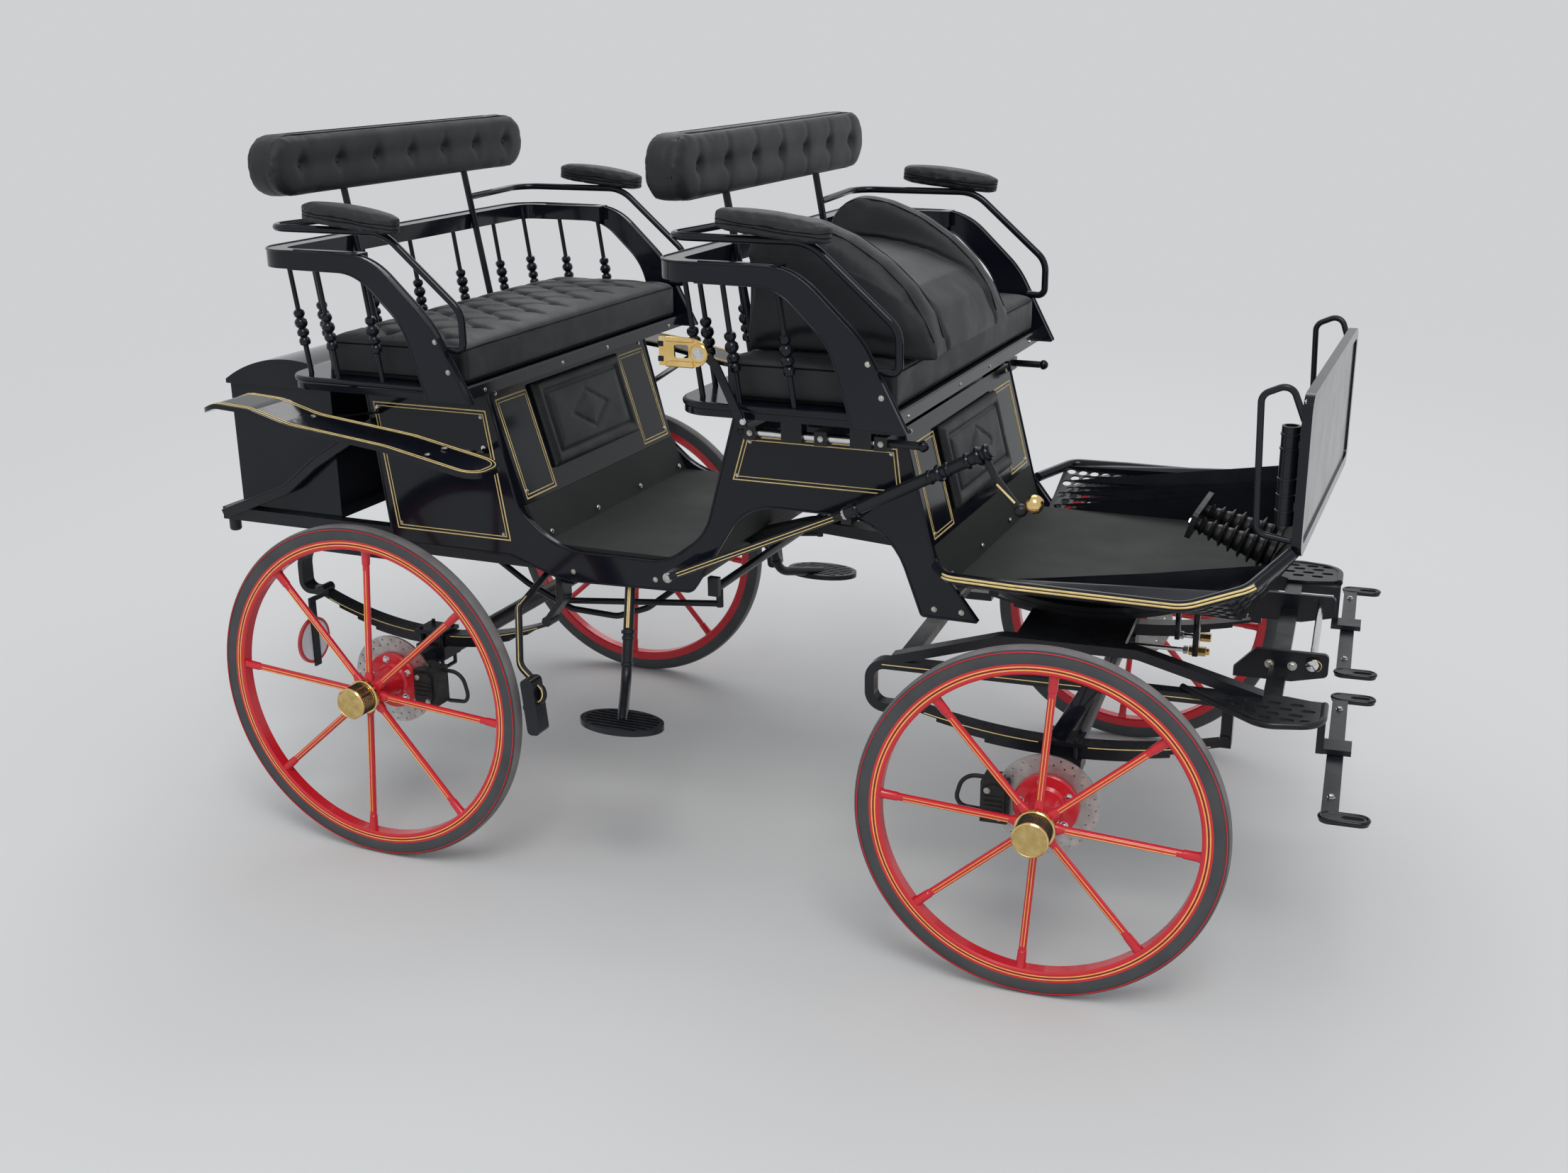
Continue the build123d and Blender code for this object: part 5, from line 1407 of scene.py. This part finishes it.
wingSpec = {
    "profile": [(-388, 1136), (-330, 1158), (-230, 1152), (-120, 1122), (150, 1092), (400, 1042)],
    "bends": [40, 120, 200, 400],
    "middle": (5, -710),
    "half": (395, 70),
    "corner": 55,
    "lines": ((8, 1.3), (17, 1.1)),
}


def makeWingLines(spec):
    top = roundRoute([(x, 0, z) for x, z in spec["profile"]], spec["bends"], 10)
    heights = np.array([(p.x, p.z) for p in top])
    bm = bmesh.new()
    for inset, radius in spec["lines"]:
        flat = roundedRing(spec["half"][0] - inset, spec["half"][1] - inset, spec["corner"] - inset)
        ring = divided([(spec["middle"][0] + x, spec["middle"][1] + y, 0) for x, y in flat], 20)
        for side in (1, -1):
            points = [at(p.x, side * p.y, float(np.interp(p.x, heights[:, 0], heights[:, 1])) + 0.5) for p in ring]
            addTube(bm, points, radius / 1000, closed=True, sides=6)
    makePiece(bm, "wingLines", "root", ["goldLine"], 60)


# Whip socket rings and strap bolts, pedal bolts, collars on the step posts, reflectors

fittingSpec = {
    "whip": (2126, -402),
    "whipRings": (1038, 1072, 1106, 1170, 1200),
    "whipRing": [(0, 0.0188), (0.001, 0.0208), (0.0045, 0.0208), (0.0055, 0.0188)],
    "strapBolts": [(2142, -392, 1157), (2142, -392, 1186)],
    # the step post's head and foot, and the distance and radius of each collar
    "post": ((575, -390, 708), (600, -480, 470)),
    "postCollars": ((0.135, 0.0175), (0.150, 0.0155), (0.215, 0.016)),
    "reflector": (-336, 500, 460),
    "reflectorBolts": (45, -45),
    "rim": [(-0.0070, 0.0545), (-0.0078, 0.0555), (-0.0078, 0.061), (-0.0068, 0.0625), (0.0008, 0.0625),
            (0.0018, 0.061), (0.0018, 0.0555), (0.0010, 0.0545)],
    "disc": [(-0.0066, 0), (-0.0066, 0.0600), (0.0006, 0.0600), (0.0006, 0)],
}


def makeFittings(spec):
    bm = bmesh.new()
    for z in spec["whipRings"]:
        addTurned(bm, spec["whipRing"], 28, Matrix.Translation(at(*spec["whip"], z)))
    makePiece(bm, "whipRings", "root", ["softRubber"], 30)

    bm = bmesh.new()
    x, _, z = pedalSpec["start"]
    run = (at(*pedalSpec["end"]) - at(*pedalSpec["start"])).normalized()
    for y in pedalSpec["y"]:
        addBolt(bm, at(x, y, z) - run * 0.012, -run, 0.009, 0.007)
    for spot in spec["strapBolts"]:
        addBolt(bm, at(*spot), (-0.6, -1, 0), 0.006, 0.006)
    makePiece(bm, "pedalBolts", "root", ["chrome"], 35)

    bm = bmesh.new()
    head, foot = (at(*spot) for spot in spec["post"])
    post = (foot - head).normalized()
    for side in (1, -1):
        for distance, radius in spec["postCollars"]:
            start = head + post * distance
            start.y *= side
            addTurned(bm, [(-0.006, 0.012), (-0.004, radius), (0.004, radius), (0.006, 0.012)], 24,
                      directed(start, Vector((post.x, side * post.y, post.z))))
    makePiece(bm, "stepPostCollars", "root", ["satinBlack"], 30)

    rims, discs, bolts = bmesh.new(), bmesh.new(), bmesh.new()
    x, y, z = spec["reflector"]
    for side in (-1, 1):
        place = Matrix.Translation(at(x, side * y, z)) @ quarter("Y", -1)
        addTurned(rims, spec["rim"], 64, place)
        addTurned(discs, spec["disc"], 64, place)
        for lift in spec["reflectorBolts"]:
            addBolt(bolts, at(x, side * y, z + lift), (-1, 0, 0), 0.006, 0.004)
    makePiece(rims, "reflectorRims", "root", ["reflectorRed"], 30)
    makePiece(discs, "reflectorDiscs", "root", ["reflectorWhite"], 30)
    makePiece(bolts, "reflectorBolts", "root", ["zinc"], 35)


# Rolled edges of the body sides, and lines along rods and springs

sideEdges = {
    # x, z and corner radius round the body side
    "rows": [(-105, 740, 2), (-158, 1165, 2), (200, 1165, 2), (280, 860, 90), (385, 768, 200), (690, 768, 150),
             (800, 850, 140), (882, 1150, 2), (1296, 1150, 2), (1374, 850, 60), (1478, 716, 2), (1345, 716, 10),
             (1262, 936, 170), (905, 936, 130), (760, 702, 30), (400, 690, 200), (250, 740, 60)],
    "y": 419.6,
    "radius": 0.0032,
    # the bead along the top of the boot stay
    "bootStay": [(-648, 437, 772), (-560, 437, 808), (-430, 437, 862), (-330, 437, 942), (-132, 437, 1064)],
    "stayBends": [80, 80, 80],
}


def makeSideEdges(spec):
    rows = spec["rows"]
    start = ((rows[-1][0] + rows[0][0]) / 2, (rows[-1][1] + rows[0][1]) / 2)
    corners = [start, *[row[:2] for row in rows], start]
    line = roundRoute([(x, 0, z) for x, z in corners], [row[2] for row in rows])
    stay = roundRoute(spec["bootStay"], spec["stayBends"])
    bm = bmesh.new()
    for side in (-1, 1):
        addTube(bm, [at(p.x, side * spec["y"], p.z) for p in line[:-1]], spec["radius"], closed=True)
        addTube(bm, [at(p.x, side * p.y, p.z) for p in stay], spec["radius"])
    makePiece(bm, "sideEdgeBeads", "root", ["glossBlack"], 60)


# Light edges of the seats' blades, rails and boards, and the full beads of the spindles

seatEdges = {
    "blade": [(-200, 1505, 0), (30, 1503, 170), (185, 1355, 260), (286, 1165, 2), (168, 1165, 2), (112, 1345, 170),
              (-10, 1461, 130), (-200, 1463, 0)],
    "bladeSides": (590.4, 611.6),
    # x of the back, half width, height and corner radius, and x of the front end
    "board": (-268, 586, 1188, 76, 160),
    "rail": (-312, 612, 1505, 90, -190),
    "radius": 0.0026,
    "moulding": 0.009,
    "feet": [(18, 576), (-112, 576), (-218, 545), (-246, 420), (-246, 210), (-246, 0)],
    "lean": 8.1,
    "foot": 1197,
    "beads": [(69, 6.8), (72, 12.6), (79, 14), (86, 12.6), (91, 8), (95, 13.5), (101, 15), (107, 13.5), (112, 8.5),
              (118, 14.4), (125, 16), (132, 14.4), (138, 8.5), (143, 12.6), (149, 14), (155, 12.6), (159, 6.8)],
}


def makeSeatEdges(spec):
    edges, beads = bmesh.new(), bmesh.new()
    for dx, dz in seatSteps.values():
        rows = spec["blade"]
        line = roundRoute([(x + dx, 0, z + dz) for x, z, _ in rows], [row[2] for row in rows[1:-1]])
        for side in (-1, 1):
            for y in spec["bladeSides"]:
                addTube(edges, [at(p.x, side * y, p.z) for p in line], spec["radius"])
        for part, radius, sides in (("board", spec["moulding"], 12), ("rail", spec["radius"], 8)):
            back, y, z, corner, front = spec[part]
            route = [(x + dx, wide, z + dz) for x, wide in ((front, -y), (back, -y), (back, y), (front, y))]
            addTube(edges, [at(*p) for p in roundRoute(route, [corner, corner])], radius, sides=sides)
        profile = [(h / 1000, r / 1000) for h, r in spec["beads"]]
        for x, y in spec["feet"]:
            for side in (-1, 1) if y else (1,):
                place = Matrix.Translation(at(x + dx, side * y, spec["foot"] + dz))
                addTurned(beads, profile, 10, place @ Matrix.Rotation(math.radians(-spec["lean"]), 4, "Y"))
    makePiece(edges, "seatEdgeBeads", "root", ["glossBlack"], 60)
    makePiece(beads, "spindleBeads", "root", ["glossBlack"], 35)


def sideOfRod(line, radius, towards, turn):
    # Points on a rod's surface, on the side that faces a direction, from the points along its middle
    spots = []
    for i, spot in enumerate(line):
        along = (line[min(i + 1, len(line) - 1)] - line[max(i - 1, 0)]).normalized()
        out = Vector(towards)
        out = (out - along * out.dot(along)).normalized()
        spots.append(spot + Matrix.Rotation(math.radians(turn), 3, along) @ out * radius)
    return spots


rodLines = [
    # route, bends, rod radius, direction that the line faces, turns of the lines, line radius
    ([(576.5, -395, 694), (587, -434, 592)], [], 13.1, (0.3, -1, 0.2), (-9, 9), 1.9),
    ([(346, -515, 663), (352, -560, 655), (430, -690, 560), (520, -712, 502), (462, -712, 468)], [30, 50, 20], 9.1,
     (0.3, -1, 0.4), (0,), 1.5),
]
springLines = {
    # y of the outer face, height of the top leaf's middle, and its rise to the ends
    "root": (433, 497, 71),
    "fore_carriage": (453, 462, 46),
    "halfSpan": 350,
    "reach": (56, 322),
    # x of the ends, y and height of the line on the fore rails, and the radius of these lines in metres
    "foreRail": (-425, 535, 448.4, 606),
    "thick": 0.0012,
}


def makeRodLines():
    bm = bmesh.new()
    for route, bends, radius, towards, turns, thick in rodLines:
        for turn in turns:
            for side in (1, -1):
                line = sideOfRod(roundRoute(route, bends), radius, towards, turn)
                addTube(bm, [at(p.x, side * p.y, p.z) for p in line], thick / 1000, sides=6)
    half = springLines["halfSpan"]
    start, end = springLines["reach"]
    back, front, railY, railZ = springLines["foreRail"]
    thick = springLines["thick"]
    for body, place in (("root", at), ("fore_carriage", fore)):
        y, low, rise = springLines[body]
        bend = (half ** 2 + rise ** 2) / (2 * rise)
        if body != "root":
            bm = bmesh.new()
        for side in (-1, 1):
            for way in (-1, 1):
                xs = [way * (start + (end - start) * i / 12) for i in range(13)]
                leaf = [place(x, side * y, low + bend - math.sqrt(bend ** 2 - x ** 2)) for x in xs]
                addTube(bm, leaf, thick, sides=6)
            if body != "root":
                addTube(bm, [place(x, side * railY, railZ) for x in (back, front)], thick, sides=6)
        makePiece(bm, f"rodLines_{body}", body, ["goldLine"], 60)


# Brass lamp brackets: a slotted clamp with rolled lips and a bolt, held by a black strap

lampSpec = {
    "plate": [(801, 1299), (801, 1362), (884, 1362), (896, 1359), (908, 1352), (917, 1342), (921, 1330), (917, 1318),
              (908, 1308), (896, 1301), (884, 1299)],
    "slot": [(838, 1320), (838, 1344), (841, 1347), (870, 1347), (873, 1344), (873, 1320), (870, 1317), (841, 1317)],
    "y": -629,
    "thickness": 6,
    # ends along x, height and radius of the rolled lips, and the y of their middle
    "lips": [(818, 886, 1358, 6), (818, 886, 1303, 6)],
    "lipY": -632,
    # low and high corners of the shelf, and of the black blocks in the notches of the rear edge
    "shelf": ((826, -637, 1305), (884, -621, 1311)),
    "blocks": [((799, -634, 1308), (812, -620, 1320)), ((799, -634, 1341), (812, -620, 1353))],
    "bolt": (899, -632, 1331),
    "strap": [(905, -626, 1331), (934, -625, 1306), (992, -612, 1172)],
}


def barBetween(bm, start, end, wide, thick, bevel, across=(1, 0, 0)):
    # A flat bar from one point to another, its width along a direction
    run = end - start
    upright = run.normalized()
    flat = Vector(across)
    flat = (flat - upright * flat.dot(upright)).normalized()
    turn = Matrix((flat, upright.cross(flat), upright)).transposed().to_4x4()
    addBlock(bm, (-wide / 2, -thick / 2, 0), (wide / 2, thick / 2, run.length), bevel,
             Matrix.Translation(start) @ turn)


def sideCorners(low, high, side):
    # The low and high corners of a block of the right side (1) or of its mirror on the left (-1)
    y = sorted((side * low[1], side * high[1]))
    return at(low[0], y[0], low[2]), at(high[0], y[1], high[2])


def makeLampBrackets(spec):
    brass, strap, bolts = bmesh.new(), bmesh.new(), bmesh.new()
    for side in (1, -1):
        plate = flatShape([(x / 1000, z / 1000) for x, z in spec["plate"]],
                          [[(x / 1000, z / 1000) for x, z in spec["slot"]]], spec["thickness"] / 1000)
        plate.transform(Matrix.Translation(at(0, side * spec["y"], 0)) @ quarter("X"))
        brass.from_mesh(plate)
        for low, high, z, radius in spec["lips"]:
            rounded = [(0, 0), (0, radius * 0.7), (2, radius), (high - low - 2, radius), (high - low, radius * 0.7),
                       (high - low, 0)]
            addTurned(brass, [(h / 1000, r / 1000) for h, r in rounded], 20,
                      Matrix.Translation(at(low, side * spec["lipY"], z)) @ quarter("Y"))
        addBlock(brass, *sideCorners(*spec["shelf"], side), 0.002)
        for low, high in spec["blocks"]:
            addBlock(strap, *sideCorners(low, high, side), 0.001)
        x, y, z = spec["bolt"]
        addTurned(brass, [(0, 0), (0, 0.021), (0.004, 0.021), (0.006, 0.019), (0.006, 0)], 32,
                  directed(at(x, side * y, z), Vector((0, -side, 0))))
        addBolt(bolts, at(x, side * y, z) + Vector((0, -side * 0.0055, 0)), (0, -side, 0), 0.0095, 0.008)
        points = [at(a, side * b, c) for a, b, c in spec["strap"]]
        for start, end in zip(points, points[1:]):
            barBetween(strap, start, end + (end - start).normalized() * 0.004, 0.020, 0.006, 0.0015)
        addBolt(bolts, points[-1] + Vector((0, -side * 0.003, 0.012)), (0, -side, 0), 0.006, 0.004)
    bracket = makePiece(brass, "lampBrackets", "root", ["brass"], 35)
    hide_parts("lamp_brackets")
    makePiece(strap, "lampStraps", "root", ["glossBlack"], 30)
    makePiece(bolts, "lampBolts", "root", ["chrome"], 35)


# Brake pedals: a plate on two rubber bellows with thin wide folds

pedalSpec = {
    "start": (1906, 0, 918),
    "end": (2086, 0, 862),
    "y": (-20, -140),
    "folds": 7,
    "length": 168,
    "tips": (19, 43),
    "root": 12,
    # place along a fold, whether it is on the tip or the root, and what is added to that radius
    "fold": [(0.0, "root", 0), (0.34, "root", 0.001), (0.52, "tip", -0.0015), (0.60, "tip", 0), (0.68, "tip", -0.0015),
             (0.74, "root", 0.003), (0.86, "root", 0)],
    "foot": [(0, 0.030), (0.001, 0.036), (0.012, 0.037), (0.014, 0.034), (0.014, 0)],
    "plate": (105, 31, 8),
    "middle": (-80, 4),
}


def makePedals(spec):
    start = at(*spec["start"])
    run = (at(*spec["end"]) - start).normalized()
    across = Vector((0, 1, 0))
    turn = Matrix((across, run.cross(across), run)).transposed().to_4x4()
    fold = spec["length"] / spec["folds"] / 1000
    profile = [(0, 0)]
    for i in range(spec["folds"]):
        share = (i + 0.5) / spec["folds"]
        tip = (spec["tips"][0] + (spec["tips"][1] - spec["tips"][0]) * share ** 0.8) / 1000
        radii = {"tip": tip, "root": tip - spec["root"] / 1000 * (0.7 + 0.5 * share)}
        profile += [((i + along) * fold, radii[edge] + extra) for along, edge, extra in spec["fold"]]
    profile += [(spec["length"] / 1000 + along, radius) for along, radius in spec["foot"]]
    bm = bmesh.new()
    for y in spec["y"]:
        addTurned(bm, profile, 48, Matrix.Translation(start + across * y / 1000) @ turn)
    ring = [((spec["middle"][0] + x) / 1000, (spec["middle"][1] + y) / 1000) for x, y in roundedRing(*spec["plate"])]
    plate = flatShape(ring, [], 0.012)
    plate.transform(Matrix.Translation(start) @ turn @ Matrix.Translation((0, 0, -0.006)))
    bm.from_mesh(plate)
    pedals = makePiece(bm, "pedalBellows", "root", ["softRubber"], 40)
    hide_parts("brake_pedals")


# Ribbed covers with bolts on the brake calipers

caliperSpec = {
    # body, place, x, distance of the outer face off the centre line, height of the axle
    "corners": [("root", at, 110, 636.5, 435), ("fore_carriage", fore, -110, 664.5, 400)],
    "half": (25, 43),
    "depth": 8,
    "ribs": (-17, -6, 5, 16),
    "bolts": ((-14, 31), (14, -31)),
}


def makeCaliperCovers(spec):
    halfX, halfZ = spec["half"]
    depth = spec["depth"]
    for body, place, x, y, z in spec["corners"]:
        covers, bolts = bmesh.new(), bmesh.new()
        frameOfBody = bodyFrame if body == "root" else foreFrame
        for side in (-1, 1):
            ring = [(px / 1000, pz / 1000) for px, pz in
                    [(-halfX, -halfZ + 14), (-halfX + 10, -halfZ), (halfX - 14, -halfZ), (halfX, -halfZ + 18),
                     (halfX, halfZ - 10), (halfX - 10, halfZ), (-halfX + 16, halfZ), (-halfX, halfZ - 16)]]
            outward = side * (y + depth / 2) / 1000
            plate = flatShape(ring, [], depth / 1000)
            plate.transform(frameOfBody @ Matrix.Translation((x / 1000, outward, z / 1000)) @ quarter("X"))
            covers.from_mesh(plate)
            for rise in spec["ribs"]:
                addBlock(covers, (x / 1000 - 0.021, side * (y + depth) / 1000 - 0.004, (z + rise - 2.5) / 1000),
                         (x / 1000 + 0.021, side * (y + depth) / 1000 + 0.004, (z + rise + 2.5) / 1000), 0.0018,
                         frameOfBody)
            for dx, dz in spec["bolts"]:
                addBolt(bolts, place(x + dx, side * (y + depth), z + dz),
                        frameOfBody.to_3x3() @ Vector((0, side, 0)), 0.0055, 0.005)
        makePiece(covers, f"caliperCovers_{body}", body, ["castBlack"], 30)
        makePiece(bolts, f"caliperBolts_{body}", body, ["zinc"], 35)


# Fore-carriage: hose joints under the ring, spring straps, pin heads with their ring clips, bolts

foreSpec = {
    # start, end, radius, sides and finish of what is threaded on the two hose lines
    "joints": [
        ((22, 0, 555), (208, 0, 555), 5.5, 16, "chrome"),
        ((208, 0, 555), (219, 0, 555), 10, 6, "zinc"),
        ((221, 0, 555), (262, 0, 555), 12, 6, "brass"),
        ((262, 0, 555), (270, 0, 555), 8, 16, "brass"),
        ((196, 0, 592), (207, 0, 592), 10, 6, "zinc"),
        ((207, 0, 592), (229, 0, 592), 6, 16, "chrome"),
        ((246, 0, 592), (272, 0, 592), 11, 6, "brass"),
    ],
    # low and high corners of the black lugs that carry them
    "lugs": [((10, -13, 540), (24, 13, 598)), ((230, -17, 545), (244, 17, 708)), ((186, -12, 582), (198, 12, 706))],
    "straps": ((-14, -454, 478), (58, -454, 612)),
    # the pole pin: x and z, distance of its ends off the centre line, the head's profile, and its ring clips
    "pin": (513, 632),
    "pinEnd": 236,
    "pinHead": [(-0.011, 0.008), (-0.011, 0.0135), (-0.003, 0.0145), (0.001, 0.0125), (0.0045, 0.006), (0.005, 0)],
    "clip": (16, 1.5),
    "clipSteps": 28,
    "plateBolts": [(420, 219, 622), (470, 219, 622)],
}


def makeForeFittings(spec):
    parts = {name: bmesh.new() for name in ("chrome", "zinc", "brass", "glossBlack")}
    for start, end, radius, sides, finishName in spec["joints"]:
        run = fore(*end) - fore(*start)
        r, length = radius / 1000, run.length
        addTurned(parts[finishName], [(0, 0), (0, r * 0.9), (0.0012, r), (length - 0.0012, r), (length, r * 0.9),
                                      (length, 0)], sides, directed(fore(*start), run))
    for low, high in spec["lugs"]:
        addBlock(parts["glossBlack"], Vector(low) / 1000, Vector(high) / 1000, 0.002, foreFrame)
    low, high = spec["straps"]
    along = foreFrame.to_3x3() @ Vector((1, 0, 0))
    for side in (1, -1):
        start, end = (fore(p[0], side * p[1], p[2]) for p in (low, high))
        barBetween(parts["glossBlack"], start, end, 0.038, 0.008, 0.0015, along)
    x, z = spec["pin"]
    for side in (1, -1):
        outward = foreFrame.to_3x3() @ Vector((0, side, 0))
        addTurned(parts["chrome"], spec["pinHead"], 32, directed(fore(x, side * spec["pinEnd"], z), outward))
        ringRadius, thick = spec["clip"]
        ring = []
        for i in range(spec["clipSteps"]):
            a = 2 * math.pi * i / spec["clipSteps"]
            ring.append(fore(x + ringRadius * math.cos(a) + 4, side * (spec["pinEnd"] - 14 + 6 * math.sin(a)),
                             z + ringRadius * math.sin(a) - 4))
        addTube(parts["brass"], ring, thick / 1000, closed=True, sides=8)
        for bx, by, bz in spec["plateBolts"]:
            addBolt(parts["zinc"], fore(bx, side * by, bz), outward, 0.008, 0.006)
    for name, bm in parts.items():
        makePiece(bm, f"foreFittings_{name}", "fore_carriage", [name], 30)


treeSpec = {
    "x": 580, "y": 416, "top": 510, "halfLength": 331,
    "bolts": ((0, 10), (-245, 6), (245, 6)),
    # eye: middle ahead of the bar, length and width
    "eye": (28, 96, 40),
}


def makeTreeFittings(spec):
    for name, side in (("right", -1), ("left", 1)):
        body = f"swingletree_{name}"
        bm = bmesh.new()
        for along, radius in spec["bolts"]:
            addBolt(bm, fore(spec["x"], side * spec["y"] + along, spec["top"]), (0, 0, 1), radius / 1000, 0.007)
        makePiece(bm, f"treeBolts_{name}", body, ["chrome"], 35)
        ahead, length, width = spec["eye"]
        bm = bmesh.new()
        for end in (-1, 1):
            ring = [fore(spec["x"] + ahead + x, side * spec["y"] + end * spec["halfLength"] + y, spec["top"] - 2)
                    for x, y in stadium(length / 2 - 1, width / 2 - 1, 8)]
            addTube(bm, ring, 0.0042, closed=True, sides=8)
        makePiece(bm, f"treeEyes_{name}", body, ["glossBlack"], 60)


# Flat stays from the body to the wings, with bolts through the blade

staySpec = {
    # x and z on the body, x and z under the wing
    "places": [(-120, 1080, -120, 1112), (190, 1000, 250, 1066)],
    # y on the body, at the wing's inner edge and at its outer edge
    "y": (-418, -648, -756),
    # width, thickness and rounding of the bars, and y of the bolts through the blade
    "bar": (0.022, 0.006, 0.0015),
    "bolts": (-676, -744),
}


def makeWingStays(spec):
    bars, bolts = bmesh.new(), bmesh.new()
    yBody, yInner, yOuter = spec["y"]
    for xBody, zBody, xWing, zWing in spec["places"]:
        for side in (1, -1):
            start, inner, outer = (at(x, side * y, z) for x, y, z in
                                   ((xBody, yBody, zBody), (xWing, yInner, zWing), (xWing, yOuter, zWing)))
            barBetween(bars, start, inner, *spec["bar"])
            barBetween(bars, inner, outer, *spec["bar"])
            addBolt(bolts, start + Vector((0, -side * 0.004, 0.012)), (0, -side, 0), 0.005, 0.004)
            for y in spec["bolts"]:
                addBolt(bolts, at(xWing, side * y, zWing + 9), (0, 0, 1), 0.006, 0.004)
    stays = makePiece(bars, "wingStayBars", "root", ["glossBlack"], 30)
    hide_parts("wing_stays")
    makePiece(bolts, "wingStayBolts", "root", ["chrome"], 35)


makeSideEdges(sideEdges)
makeSeatEdges(seatEdges)
makeCoachLines(coachLines)
makeRailLines(railSpec)
makeRodLines()
makeLampBrackets(lampSpec)
makePedals(pedalSpec)
makeCaliperCovers(caliperSpec)
makeForeFittings(foreSpec)
makeTreeFittings(treeSpec)
makeWingStays(staySpec)
makeSkirts(skirtSpec)
makeSlides(slideSpec)
makeBolts(boltTable)
makeHandBrake(brakeSpec)
makeWingLines(wingSpec)
makeFittings(fittingSpec)
print("body fittings made")
